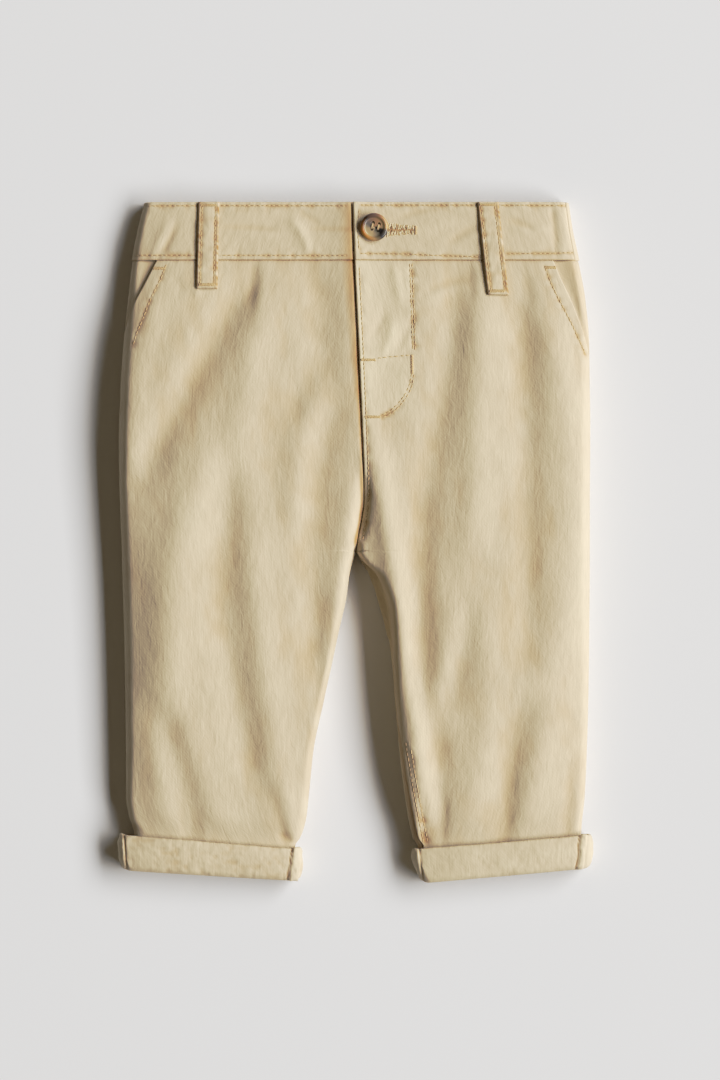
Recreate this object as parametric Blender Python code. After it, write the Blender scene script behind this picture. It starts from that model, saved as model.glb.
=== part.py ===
"""Chino trousers for a baby, with turned-up cuffs, laid flat with the front up.

The tables are in millimetres and the meshes are in metres. X runs across, from the wearer's
right leg at -X to the left leg at +X. Y runs up the garment, from the cuffs to the waist, and
Z runs up from the surface that the trousers lie on. "down" is the distance below the waist
edge, "right" and "left" are the wearer's.

Each leg, with its half of the seat, is a ring of cloth. At every distance down, the ring has a
round outer edge, a front with folds, a round inner edge and a flat underside. The panels, the
waistband, the pocket facings and the belt loops are stretches of these rings with a wall, and
the cuffs are wider rings round their ends.
"""

import bmesh
import bpy
import numpy as np

MM = 0.001
SIDES = ("right", "left")

# Walls and clearances
CLOTH_WALL = 1.2          # one panel
BAND_WALL = 2.0           # waistband, cloth on both faces
CUFF_WALL = 1.6           # cloth turned up, with its hem
LOOP_WALL = 1.2
SEAM_GAP = 0.3

# Main lengths, measured down from the waist edge
WAIST_Y = 183.0
BAND_TOP = 0.7
BAND_DEPTH = 32.4
CROTCH_DOWN = 189.0
HEM_DOWN = 359.6          # where the leg turns up into its cuff
RING_SAMPLES = 90

# Half of the outline from above: x of the outer edge, and how far the outer end of the row
# stands above its middle, because the hems slope
OUTER_COLUMNS = ("down", "outer", "tilt")
OUTER = {
    "right": (
        (0, -113.9, 0.0), (17, -118.0, 0.0), (33, -121.0, 0.0), (53, -123.1, 0.0),
        (75, -125.3, 0.0), (102, -127.2, 0.0), (129, -128.0, 0.0), (164, -127.4, 0.0),
        (192, -126.4, 0.0), (242, -125.0, 0.0), (269, -124.6, 0.6), (296, -124.2, 1.9),
        (325, -124.2, 3.0), (332, -123.1, 3.2), (340, -121.3, 3.5), (346, -119.6, 3.5),
        (362, -122.6, 2.9),
    ),
    "left": (
        (0, 114.5, 0.0), (17, 117.2, 0.0), (33, 120.6, 0.0), (53, 124.2, 0.0),
        (75, 126.1, 0.0), (102, 126.4, 0.0), (129, 126.6, 0.0), (164, 126.4, 0.0),
        (192, 126.4, 0.0), (242, 126.1, 0.0), (269, 125.8, 0.6), (296, 125.0, 1.9),
        (323, 123.9, 3.2), (345, 122.0, 3.9), (362, 124.4, 3.8),
    ),
}

# The line where the halves meet, down to the crotch, and each leg's inner edge below it
CENTRE_COLUMNS = ("down", "inner")
CENTRE = ((0, -2.0), (33, -0.9), (75, 1.1), (129, 3.4), (150, 4.1), (162, 4.2), (172, 3.0),
          (180, 1.4), (189, 0.0))
INNER = {
    "right": ((189, 0.0), (202, -3.2), (215, -4.9), (228, -7.8), (242, -10.8), (269, -16.7),
              (294, -22.1), (316, -24.5), (329, -26.0), (336, -27.8), (340, -29.6),
              (344, -32.3), (350, -33.0), (362, -33.2)),
    "left": ((189, 0.0), (195, 2.2), (201, 6.0), (215, 10.8), (229, 14.6), (242, 17.8),
             (269, 20.4), (296, 22.8), (323, 26.4), (335, 28.8),
             (340, 30.2), (343.6, 32.5), (350, 33.4), (362, 37.0)),
}

# The ring's section: height of the front, radii of its outer and inner edges, and height of
# its widest point
SECTION_COLUMNS = ("down", "height", "outer_round", "inner_round", "outer_share", "inner_share",
                   "widest")
SECTION = (
    (0, 13.0, 4.2, 4.0, 0.72, 0.85, 4.8), (32, 17.2, 4.6, 4.4, 0.72, 0.85, 5.2),
    (60, 20.8, 5.0, 4.8, 0.72, 0.85, 6.0), (90, 22.8, 5.4, 5.0, 0.74, 0.85, 6.8),
    (140, 23.6, 5.6, 5.0, 0.72, 0.85, 7.2), (189, 23.0, 5.6, 5.0, 0.62, 0.85, 7.0),
    (240, 22.4, 5.4, 5.0, 0.54, 0.88, 7.0), (300, 20.6, 5.0, 4.8, 0.58, 0.90, 6.8),
    (330, 17.4, 4.6, 4.6, 0.64, 0.85, 6.6), (346, 14.0, 4.2, 4.2, 0.70, 0.75, 6.6),
    (362, 12.2, 4.0, 4.0, 0.70, 0.75, 6.4),
)
CROWN = 34.0               # reach of the low crown that makes up the rest of the height
UNDER_ROUND = 5.5          # radius of the lower edges
HEM_LIFT = (326.0, 343.0, 2.2)     # the underside rises here, to lie inside the cuff
SADDLE = 0.45              # how slowly the front dips towards the crotch, from above
FOOT_EDGE = 1.8            # radius of the folded edge of the back that shows past the front
FOOT_GROWTH = 3.0          # size of that foot at which its edge is fully formed

# Where the seams lie: plan distance from the outer and inner edges, onto the front, and how
# far the back reaches past the front at the inner edge
SEAM_COLUMNS = ("down", "outer_seam", "inner_seam", "foot")
SEAMS = {
    "right": ((0, 0.3, 0.0, 0.0), (189, 0.3, 0.0, 0.0), (215, 0.3, 0.2, 0.0),
              (330, 0.3, 0.4, 0.0), (362, 0.6, 0.4, 0.0)),
    "left": ((0, 1.6, 0.0, 0.0), (33, 2.7, 0.0, 0.0), (45, 3.0, 0.0, 0.0),
             (69, 1.6, 0.0, 0.0), (80, 0.5, 0.0, 0.0), (189, 0.4, 0.0, 0.0),
             (201, 0.4, 4.6, 4.2), (215, 0.4, 5.8, 5.2), (229, 0.5, 4.0, 3.4),
             (242, 0.5, 1.6, 1.0), (265, 0.6, 0.6, 0.0), (300, 1.0, 2.2, 0.0),
             (330, 1.6, 3.0, 0.0), (362, 1.8, 3.0, 0.0)),
}

# Slanted pocket mouths: plan distance of the front's edge from the outer edge
POCKET_COLUMNS = ("down", "mouth")
POCKET = {
    "right": ((32, 13.7), (40, 10.6), (47, 7.6), (54, 4.6), (61, 2.6), (70, 0.4)),
    "left": ((32, 14.3), (42, 12.2), (57, 7.6), (66, 5.0), (74, 2.8), (80, 1.4), (86, 0.4)),
}
POCKET_END = {"right": 62.0, "left": 80.0}     # where the mouth meets the side seam
FACING_REACH = 10.0        # how far the facing runs under the front
FACING_STEP = 0.8          # part of the open mouth over which it sinks to that level
FACING_COLUMNS = (6, 4)    # in the open mouth, and under the front

# The fly: the left front lies over the right one
LAP_COLUMNS = ("down", "dip", "lead", "underlap")
BAND_LAP = {"dip": 2.8, "lead": 5.2, "underlap": 20.0}
LAP = (
    (32, 2.2, 4.8, 8.0), (90, 2.0, 3.2, 6.5),
    (120, 2.0, 2.2, 4.5), (130, 1.9, 1.9, 2.0), (138, 1.8, 1.6, 0.0), (156, 0.0, 1.2, 0.0),
    (189, 0.0, 1.0, 0.0),
)
CENTRE_SPARE = 3.0         # how far the rings are known past the middle, and past the underlap
CREASE = (140.0, 188.0, 3.0, 4.0)  # start and end down, half width, depth at the fly's foot
CREASE_FADE = (30.0, 12.0)         # lengths over which it deepens and fades

# Folds of the fronts: from one end to the other, bowed sideways, with a half width and a
# height, which is below zero for a trough
FOLD_COLUMNS = ("x0", "y0", "x1", "y1", "bow", "spread", "height")
FOLDS = {
    "right hip edge": (-108.0, 131.0, -121.0, 38.1, -3.7, 7.0, 1.2),
    "right thigh diagonal": (-57.2, 138.0, -113.9, 32.7, -2.0, 9.0, -2.6),
    "right thigh crest": (-45.4, 135.3, -59.4, 21.9, -6.5, 11.0, 1.8),
    "right outer crest": (-76.1, 54.3, -101.5, -86.1, -7.8, 13.0, 2.6),
    "right middle trough": (-67.0, 38.1, -50.8, -134.7, -10.1, 8.0, -2.4),
    "right middle crest": (-57.2, 11.1, -38.3, -159.0, -1.4, 9.0, 2.0),
    "right fly hollow": (-23.8, 146.1, -31.9, 70.5, 8.7, 9.0, -1.2),
    "right crotch wedge": (-19.4, 82.4, -32.4, 11.1, -3.9, 8.0, 1.2),
    "right inner trough": (-15.1, 67.8, -19.4, -75.3, -5.6, 8.0, -2.2),
    "right inner crest": (-2.2, 32.7, -16.7, -67.2, 1.3, 6.0, 1.2),
    "right hem outer crest": (-110.7, -98.0, -99.4, -161.7, -1.7, 7.0, 1.4),
    "right hem outer trough": (-104.8, -92.6, -88.6, -164.4, 3.6, 6.0, -1.8),
    "right hem middle crest": (-91.8, -98.0, -69.1, -160.7, -1.0, 8.0, 1.8),
    "left inner crest": (10.3, 48.9, 37.8, -150.0, 0.3, 7.0, 3.0),
    "left fly trough": (55.6, 147.2, 36.7, 24.6, 1.5, 9.0, -2.0),
    "left thigh trough": (36.7, 24.6, 33.5, -86.1, -0.8, 8.0, -2.2),
    "left hem inner trough": (43.2, -102.3, 40.5, -161.7, 2.3, 5.0, -2.4),
    "left centre crest": (65.3, 129.9, 61.0, -10.5, 2.1, 10.0, 2.0),
    "left split crest": (57.2, -31.1, 42.1, -88.8, -0.5, 7.0, 1.5),
    "left split trough": (60.5, -32.1, 48.6, -89.4, 1.8, 5.0, -1.6),
    "left lower crest": (68.6, -34.8, 58.3, -153.6, 5.9, 9.0, 2.0),
    "left outer trough": (88.6, 138.0, 92.3, -64.5, 1.3, 9.0, -2.4),
    "left hem outer trough": (90.7, -86.1, 80.5, -160.7, -3.4, 7.0, -2.2),
    "left outer crest": (102.1, 119.1, 112.9, -53.7, 10.3, 10.0, 1.8),
    "left hem outer crest": (106.4, -83.4, 86.9, -157.4, 0.3, 8.0, 1.6),
}
FOLD_END = 0.22            # part of a fold's length over which it fades at each end
FOLD_START = 6.0           # distance from a leg's edge at which folds reach their full height
FOLD_FADE = (330.0, 345.0)     # crests fade here, so that the leg clears its cuff

# Columns of the meshes, by their distance from the end of a panel
ROUND_COLUMNS = (24.0, 17.5, 13.0, 9.5, 5.0, 0.0)      # on the round edge of a front
CREASED_COLUMNS = (20.0, 12.0, 7.0, 4.0, 2.0, 0.0)     # by the crease below the fly
LAPPED_COLUMN = 9.0                                    # before the step of the fly
SEAT_COLUMNS = (22.0, 14.0, 9.0, 5.0, 2.5, 0.0)        # of the backs, by the middle
UNDER_COLUMNS = (10.0, 6.5, 3.0)                       # on the round edge of the underside
FRONT_MIDDLE = 8
BACK_MIDDLE = 2
SEAT_TO_LEG = (178.0, 22.0)        # where columns change from the seat's to the leg's
LAP_TO_CREASE = (148.0, 10.0)      # where they change from the underlap's to the crease's

# Cuffs: their own outline, from the top edge to the fold at the bottom
CUFF_COLUMNS = ("along", "outer", "inner", "tilt", "height", "widest")
CUFFS = {
    "right": (
        (345.0, -126.6, -30.2, 3.8, 17.2, 7.6), (349.5, -127.8, -28.9, 3.6, 17.8, 7.6),
        (354.5, -127.9, -28.4, 3.3, 17.6, 7.4), (359.5, -126.6, -29.2, 3.0, 16.8, 7.2),
        (363.4, -124.4, -30.8, 2.7, 15.4, 7.0),
    ),
    "left": (
        (345.0, 126.6, 30.2, 3.9, 17.2, 7.6), (349.0, 127.8, 29.6, 3.9, 17.8, 7.6),
        (354.0, 127.9, 31.0, 3.8, 17.6, 7.4), (359.0, 127.2, 33.4, 3.8, 16.8, 7.2),
        (363.4, 125.6, 35.8, 3.8, 15.4, 7.0),
    ),
}
CUFF_ROUND = 4.6
CUFF_SHARE = 0.72          # of its height that its round edge makes
CUFF_SHRINK = 0.6          # how fast its corners tighten with depth
ROLL_RADIUS = 2.6          # of the fold at the bottom of a cuff
ROLL_TURNS = 5

# Belt loops: x of the middle at the waist edge and at the lower end, and where that end is
LOOP_WIDTH = 11.3
LOOP_CLEAR = 0.4           # from the waistband, at its ends
LOOP_PUFF = 1.6            # more, half way down
LOOP_GRID = (8, 4)
LOOPS = {"right": (-79.0, -80.0, 48.0), "left": (70.9, 76.2, 51.4)}

# Button: a rim round a dished face with four holes
BUTTON_RADIUS = 7.6
BUTTON_THICKNESS = 2.8
BUTTON_PROFILE = (         # radius and height, from the middle of the back to that of the face
    (0.0, 0.5), (5.4, 0.0), (7.1, 0.8), (BUTTON_RADIUS, 1.6), (7.1, 2.6),
    (6.5, BUTTON_THICKNESS), (5.6, 2.3), (4.6, 2.1), (0.0, 2.1),
)
BUTTON_TURNS = 24
BUTTON_SHARP = 0.7         # angle in radians above which an edge stays sharp
BUTTON_PLACE = (9.7, 168.2)
HOLE_RADIUS = 0.85
HOLE_SIDES = 8
HOLE_SPACING = 2.6

CLOTH_COLOUR = (0.672, 0.555, 0.350, 1.0)
BUTTON_COLOUR = (0.262, 0.150, 0.074, 1.0)


def columns(names, rows):
    """Give a table's columns by name."""
    return dict(zip(names, np.array(rows, float).T))


def smooth(table, name, down):
    """Value of a column at a distance down, on a cubic that never overshoots the rows."""
    known = table[list(table)[0]]
    values = table[name]
    rise = np.diff(values) / np.diff(known)
    product = rise[:-1] * rise[1:]
    total = np.where(product > 0, rise[:-1] + rise[1:], 1)
    inner = np.where(product > 0, 2 * product / total, 0)
    slopes = np.concatenate((rise[:1], inner, rise[-1:]))
    down = np.clip(down, known[0] - 1, known[-1] + 1)
    k = np.clip(np.searchsorted(known, down) - 1, 0, len(known) - 2)
    step = known[k + 1] - known[k]
    t = (down - known[k]) / step
    return ((1 + 2 * t) * (1 - t) ** 2 * values[k] + t * (1 - t) ** 2 * step * slopes[k]
            + t ** 2 * (3 - 2 * t) * values[k + 1] + t ** 2 * (t - 1) * step * slopes[k + 1])


def ease(t):
    """Go from 0 to 1 with a flat start and end."""
    t = np.clip(t, 0, 1)
    return t * t * (3 - 2 * t)


def quarter(t):
    """Rise from 0 to 1 along a quarter of a circle."""
    return np.sqrt(1 - (1 - np.clip(t, 0, 1)) ** 2)


def rise(across, radius, share):
    """Share of its height at a distance from an edge: a round edge's share, then a crown's."""
    crown = 1 - (1 - np.clip(across / CROWN, 0, 1)) ** 2
    return share * quarter(across / radius) + (1 - share) * crown


OUTER_TABLE = {side: columns(OUTER_COLUMNS, OUTER[side]) for side in SIDES}
INNER_TABLE = {side: columns(CENTRE_COLUMNS, INNER[side]) for side in SIDES}
SEAM_TABLE = {side: columns(SEAM_COLUMNS, SEAMS[side]) for side in SIDES}
POCKET_TABLE = {side: columns(POCKET_COLUMNS, POCKET[side]) for side in SIDES}
CUFF_TABLE = {side: columns(CUFF_COLUMNS, CUFFS[side]) for side in SIDES}
CENTRE_TABLE = columns(CENTRE_COLUMNS, CENTRE)
SECTION_TABLE = columns(SECTION_COLUMNS, SECTION)
LAP_TABLE = columns(LAP_COLUMNS, LAP)
FOLD_TABLE = columns(FOLD_COLUMNS, tuple(FOLDS.values()))


def lap_size(name, down):
    """How the right side runs under the left at the fly."""
    return BAND_LAP[name] if down < BAND_DEPTH else float(smooth(LAP_TABLE, name, down))


def folds(x, y):
    """Height of the folds: each is a bell across a bowed line, faded at the line's ends."""
    total = np.zeros(np.broadcast(x, y).shape)
    for x0, y0, x1, y1, bow, spread, height in np.stack(list(FOLD_TABLE.values())).T:
        length = np.hypot(x1 - x0, y1 - y0)
        ax, ay = (x1 - x0) / length, (y1 - y0) / length
        along = ((x - x0) * ax + (y - y0) * ay) / length
        aside = (y - y0) * ax - (x - x0) * ay
        aside = aside - 4 * bow * along * (1 - along)
        ends = ease((along + FOLD_END / 2) / FOLD_END) * ease((1 - along + FOLD_END / 2) / FOLD_END)
        total += height * np.exp(-(aside / spread) ** 2) * ends
    return total


def row_ends(side, down):
    """Ends of a row from above: the outer point, the inner point and the width."""
    sign = -1 if side == "right" else 1
    outer = smooth(OUTER_TABLE[side], "outer", down)
    tilt = smooth(OUTER_TABLE[side], "tilt", down)
    if down < CROTCH_DOWN:
        inner = smooth(CENTRE_TABLE, "inner", down)
    else:
        inner = smooth(INNER_TABLE[side], "inner", down)
    inner += sign * SEAM_GAP / 2
    middle = WAIST_Y - down
    start = np.array((outer, middle + tilt))
    end = np.array((inner, middle - tilt))
    return start, end, np.linalg.norm(end - start)


def edge_shape(side, down, across):
    """The row's sizes: width, height of the widest point, foot and its edge, inner distance."""
    width = row_ends(side, down)[2]
    foot = max(float(smooth(SEAM_TABLE[side], "foot", down)), 0.0)
    flat = ease(foot / FOOT_GROWTH)
    blend = ease(across / width)
    widest = smooth(SECTION_TABLE, "widest", down)
    widest = widest + (FOOT_EDGE - widest) * flat * blend
    to_inner = np.hypot(width - across, SADDLE * max(CROTCH_DOWN - down, 0))
    return width, widest, foot, flat * blend, to_inner


def front_height(side, down, across):
    """Height of the front: round edges, a low crown, and folds between them."""
    start, end, width = row_ends(side, down)
    width, widest, foot, flat, to_inner = edge_shape(side, down, across)
    height = smooth(SECTION_TABLE, "height", down)
    from_foot = to_inner - foot
    ledge = FOOT_EDGE * flat * quarter(to_inner / FOOT_EDGE)
    rises = 1.0
    for edge, distance in (("outer", across), ("inner", from_foot)):
        radius = smooth(SECTION_TABLE, f"{edge}_round", down)
        rises = rises * rise(distance, radius, smooth(SECTION_TABLE, f"{edge}_share", down))
    z = widest + ledge + (height - widest - ledge) * rises
    x, y = start[:, None] + np.outer((end - start) / width, across)
    relief = folds(x, y) * ease(across / FOLD_START) * ease(from_foot / FOLD_START)
    fade = 1 - ease((down - FOLD_FADE[0]) / (FOLD_FADE[1] - FOLD_FADE[0]))
    z = z + np.minimum(relief, 0) + np.maximum(relief, 0) * fade
    first, last, spread, depth = CREASE
    deepen, end = CREASE_FADE
    deep = depth * ease((down - first) / deepen) * ease((last - down) / end)
    z = z - deep * np.exp(-((width - across) / spread) ** 2)
    if side == "right" and down < CROTCH_DOWN:
        lead = lap_size("lead", down)
        z = z - lap_size("dip", down) * ease((across - width + lead) / lead)
    return z


def under_height(side, down, across):
    """Height of the underside: flat, and rounded up to the widest point at its edges."""
    widest, flat, to_inner = (edge_shape(side, down, across)[k] for k in (1, 3, 4))
    first, last, lift = HEM_LIFT
    floor = lift * ease((down - first) / (last - first))
    inner_round = UNDER_ROUND + (FOOT_EDGE - UNDER_ROUND) * flat
    edges = quarter(across / UNDER_ROUND) * quarter(to_inner / inner_round)
    return widest - (widest - floor) * edges


def ring(side, down):
    """Walk round a row's ring: distance from the outer edge, plan place and height.

    The distance is above zero on the front and below zero on the underside. Past the inner
    edge, a leg's ring goes on round it, and a half of the seat goes on across the middle.
    """
    width = row_ends(side, down)[2]
    spread = (1 - np.cos(np.linspace(0, np.pi, RING_SAMPLES))) / 2
    if down < CROTCH_DOWN:
        lap = lap_size("underlap", down) if side == "right" else 0.0
        across = spread * width
        past = width + across[1:][across[1:] < CENTRE_SPARE]
        lapped = np.linspace(CENTRE_SPARE, lap + CENTRE_SPARE + 1, 12)
        front = np.concatenate((across, past, width + lapped))
        front_z = front_height(side, down, front)
        under = np.concatenate((across, past))
        under_z = under_height(side, down, under)
    else:
        lap = 0.0
        round_edge = width * (1 - spread[1:RING_SAMPLES // 3])
        front = np.concatenate((spread * width, round_edge))
        under = front
        there = front_height(side, down, spread * width)
        back = under_height(side, down, spread * width)
        front_z = np.concatenate((there, under_height(side, down, round_edge)))
        under_z = np.concatenate((back, front_height(side, down, round_edge)))
    front_s = np.concatenate(((0,), np.cumsum(np.hypot(np.diff(front), np.diff(front_z)))))
    under_s = np.concatenate(((0,), np.cumsum(np.hypot(np.diff(under), np.diff(under_z)))))
    return {
        "s": np.concatenate((-under_s[:0:-1], front_s)),
        "across": np.concatenate((under[:0:-1], front)),
        "z": np.concatenate((under_z[:0:-1], front_z)),
        "front": front_s[RING_SAMPLES - 1],
        "under": under_s[RING_SAMPLES - 1],
        "front_at": lambda across: np.interp(across, front[:RING_SAMPLES], front_s[:RING_SAMPLES]),
        "lap": np.interp(width + lap, front[RING_SAMPLES - 1:], front_s[RING_SAMPLES - 1:])
        if lap else front_s[RING_SAMPLES - 1],
        "width": width,
    }


def skin(side, downs, distances):
    """Points on the outer face, a row for each distance down."""
    rows = []
    for down, s in zip(downs, distances):
        start, end, width = row_ends(side, down)
        walk = ring(side, down)
        across = np.interp(s, walk["s"], walk["across"])
        x, y = start[:, None] + np.outer((end - start) / width, across)
        rows.append(np.stack((x, y, np.interp(s, walk["s"], walk["z"])), axis=-1))
    return np.array(rows)


def outward(side, downs, distances):
    """Unit normals of the outer face, from its slopes down and round the ring."""
    step = 0.1
    downs = np.asarray(downs, float)
    along = skin(side, downs + step, distances) - skin(side, downs - step, distances)
    around = skin(side, downs, distances + step) - skin(side, downs, distances - step)
    normal = np.cross(along, around) * (1 if side == "right" else -1)
    return normal / np.linalg.norm(normal, axis=-1, keepdims=True)


def sheet_solid(outer, inner, ring_closed=False):
    """Vertices and faces of a wall between two grids, with its four edges closed."""
    rows, cols = outer.shape[:2]
    verts = np.concatenate((outer.reshape(-1, 3), inner.reshape(-1, 3)))
    count = rows * cols
    faces = []

    def quad(a, b, c, d):
        faces.append((a, b, c))
        faces.append((a, c, d))

    def at(r, c):
        return r * cols + c % cols

    steps = cols if ring_closed else cols - 1
    for r in range(rows - 1):
        for c in range(steps):
            a, b, e, f = at(r, c), at(r + 1, c), at(r + 1, c + 1), at(r, c + 1)
            quad(a, b, e, f)
            quad(count + a, count + f, count + e, count + b)
    for c in range(steps):
        for r, turned in ((0, False), (rows - 1, True)):
            a, b = at(r, c), at(r, c + 1)
            if turned:
                a, b = b, a
            quad(a, b, count + b, count + a)
    if not ring_closed:
        for r in range(rows - 1):
            for c, turned in ((0, True), (cols - 1, False)):
                a, b = at(r, c), at(r + 1, c)
                if turned:
                    a, b = b, a
                quad(b, a, count + a, count + b)
    return verts, faces


def material(name, colour, roughness):
    """A plain Principled material."""
    made = bpy.data.materials.new(name)
    made.use_nodes = True
    shader = made.node_tree.nodes["Principled BSDF"]
    shader.inputs["Base Color"].default_value = colour
    shader.inputs["Roughness"].default_value = roughness
    shader.inputs["Metallic"].default_value = 0.0
    return made


def add_object(name, verts, faces, finish):
    """Make an object of a closed mesh in millimetres, with its faces pointing out."""
    mesh = bpy.data.meshes.new(name)
    mesh.from_pydata([tuple(v) for v in np.asarray(verts) * MM], [], faces)
    shape = bmesh.new()
    shape.from_mesh(mesh)
    bmesh.ops.recalc_face_normals(shape, faces=shape.faces)
    shape.to_mesh(mesh)
    shape.free()
    mesh.materials.append(finish)
    made = bpy.data.objects.new(name, mesh)
    bpy.context.scene.collection.objects.link(made)
    return made


def front_columns(side, down):
    """Distances round the ring of a front's columns, from the side seam or pocket mouth.

    They are closer together on the round edges, at the step of the fly and by the crease.
    """
    walk = ring(side, down)
    pocket = POCKET_TABLE[side]
    seam = smooth(SEAM_TABLE[side], "outer_seam", down)
    mouth = smooth(pocket, "mouth", down) if BAND_DEPTH < down < pocket["down"][-1] else 0
    first = walk["front_at"](max(seam, mouth)) + SEAM_GAP / 2
    to_end = np.array(CREASED_COLUMNS, float)
    last = walk["lap"]
    if side == "right":
        lap = walk["lap"] - walk["front"]
        lead = lap_size("lead", down)
        step = (lap + lead + LAPPED_COLUMN, lap + lead, lap + lead / 2, lap, lap / 2, 0)
        last_down, change = LAP_TO_CREASE
        to_end += (np.array(step) - to_end) * ease((last_down - down) / change)
    if down > CROTCH_DOWN:
        seam = smooth(SEAM_TABLE[side], "inner_seam", down)
        last = walk["front_at"](walk["width"] - seam) - SEAM_GAP / 2
    change_down, change = SEAT_TO_LEG
    to_end += (np.array(ROUND_COLUMNS) - to_end) * ease((down - change_down) / change)
    from_start = first + np.array(ROUND_COLUMNS)[::-1]
    middle = np.linspace(from_start[-1], last - to_end[0], FRONT_MIDDLE + 2)[1:-1]
    return np.concatenate((from_start, middle, last - to_end))


def back_columns(side, down):
    """Distances round the ring of a back's columns, from the side seam by the underside."""
    walk = ring(side, down)
    first = walk["front_at"](smooth(SEAM_TABLE[side], "outer_seam", down)) - SEAM_GAP / 2
    from_start = np.concatenate(((first, first / 2, 0), -np.array(UNDER_COLUMNS)[::-1]))
    to_end = np.array(SEAT_COLUMNS, float)
    round_end = np.concatenate((UNDER_COLUMNS, (0, 0, 0)))
    change_down, change = SEAT_TO_LEG
    to_end += (round_end - to_end) * ease((down - change_down) / change)
    if down > CROTCH_DOWN:
        seam = smooth(SEAM_TABLE[side], "inner_seam", down)
        up = walk["front"] - walk["front_at"](walk["width"] - seam) - SEAM_GAP / 2
        to_end -= up * np.array((0, 0, 0, 0, 0.5, 1))
    middle = np.linspace(from_start[-1], -walk["under"] + to_end[0], BACK_MIDDLE + 2)[1:-1]
    return np.concatenate((from_start, middle, -walk["under"] + to_end))


def panel(name, side, downs, columns_of, wall, finish):
    """A wall whose columns run down the rings of one side."""
    distances = np.array([columns_of(side, down) for down in downs])
    outer = skin(side, downs, distances)
    inner = outer - wall * outward(side, downs, distances)
    return add_object(name, *sheet_solid(outer, inner), finish)


def leg_rows(first):
    """Distances down of a panel's rows, closer together round the crotch and at the hem."""
    upper = (first, 40, 47, 54.5, 62, 70, 80, 96, 112, 126, 138.5, 147, 156, 166)
    crotch = (176, 183, 188, 190.5, 196, 202, 209)
    return np.concatenate((upper, crotch, np.linspace(220, 330, 7), (337, 344, 351, HEM_DOWN)))


def waistband_back(finish):
    """The waistband's back, from one side seam to the other under both halves."""
    downs = np.linspace(BAND_TOP, BAND_DEPTH - SEAM_GAP / 2, 4)
    grids = []
    for side in SIDES:
        distances = np.array([back_columns(side, down)[:-3] for down in downs])
        outer = skin(side, downs, distances)
        inner = outer - BAND_WALL * outward(side, downs, distances)
        grids.append((outer, inner))
    outer = np.concatenate((grids[0][0], grids[1][0][:, ::-1]), axis=1)
    inner = np.concatenate((grids[0][1], grids[1][1][:, ::-1]), axis=1)
    return add_object("waistband_back", *sheet_solid(outer, inner), finish)


def pocket_facing(side, finish):
    """The cloth inside a pocket's mouth: level with the side seam, and lower under the front."""
    rows = leg_rows(BAND_DEPTH + SEAM_GAP / 2)
    downs = rows[rows <= POCKET_END[side]]
    open_count, under_count = FACING_COLUMNS
    sunk = 0.2 + SEAM_GAP + CLOTH_WALL
    distances, depths = [], []
    for down in downs:
        walk = ring(side, down)
        first = back_columns(side, down)[0] + SEAM_GAP
        mouth = walk["front_at"](smooth(POCKET_TABLE[side], "mouth", down))
        last = walk["front_at"](smooth(POCKET_TABLE[side], "mouth", down) + FACING_REACH)
        covered = np.linspace(mouth, last, under_count)[1:]
        row = np.concatenate((np.linspace(first, mouth, open_count), covered))
        distances.append(row)
        depths.append(sunk * ease((row - first) / (FACING_STEP * (mouth - first))))
    distances = np.array(distances)
    depths = np.array(depths)[..., None]
    normal = outward(side, downs, distances)
    outer = skin(side, downs, distances) - depths * normal
    inner = outer - CLOTH_WALL * normal
    return add_object(f"pocket_facing_{side}", *sheet_solid(outer, inner), finish)


def front_point(side, down, across):
    """A point on the front's outer face, by its plan distance from the outer edge."""
    start, end, width = row_ends(side, down)
    x, y = start + (end - start) / width * across
    return np.array((x, y, front_height(side, down, np.array([across]))[0]))


def belt_loop(side, finish):
    """A strip down the waistband, a little clear of it at its ends and puffed between them."""
    step = 0.3
    top_x, low_x, end_down = LOOPS[side]
    row_count, column_count = LOOP_GRID
    downs = np.linspace(BAND_TOP + SEAM_GAP, end_down, row_count)
    outer, inner = [], []
    for down in downs:
        share = (down - downs[0]) / (downs[-1] - downs[0])
        middle = top_x + (low_x - top_x) * share
        lift = LOOP_CLEAR + LOOP_PUFF * np.sin(np.pi * share)
        edge_x = row_ends(side, down)[0][0]
        over, under = [], []
        for x in middle + LOOP_WIDTH * np.linspace(-0.5, 0.5, column_count):
            across = abs(x - edge_x)
            here = front_point(side, down, across)
            aside = front_point(side, down, across + step) - front_point(side, down, across - step)
            along = front_point(side, down + step, across) - front_point(side, down - step, across)
            normal = np.cross(along, aside) * (1 if side == "right" else -1)
            normal /= np.linalg.norm(normal)
            over.append(here + normal * (lift + LOOP_WALL))
            under.append(here + normal * lift)
        outer.append(over)
        inner.append(under)
    return add_object(f"belt_loop_{side}", *sheet_solid(np.array(outer), np.array(inner)), finish)


def round_ended(width, radius, round_count, middle_count):
    """Places across a width, at even turns round each end and evenly between them."""
    turn = radius * (1 - np.cos(np.linspace(0, np.pi / 2, round_count)))
    middle = np.linspace(radius, width - radius, middle_count + 2)[1:-1]
    return np.concatenate((turn, middle, width - turn[::-1]))


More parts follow.
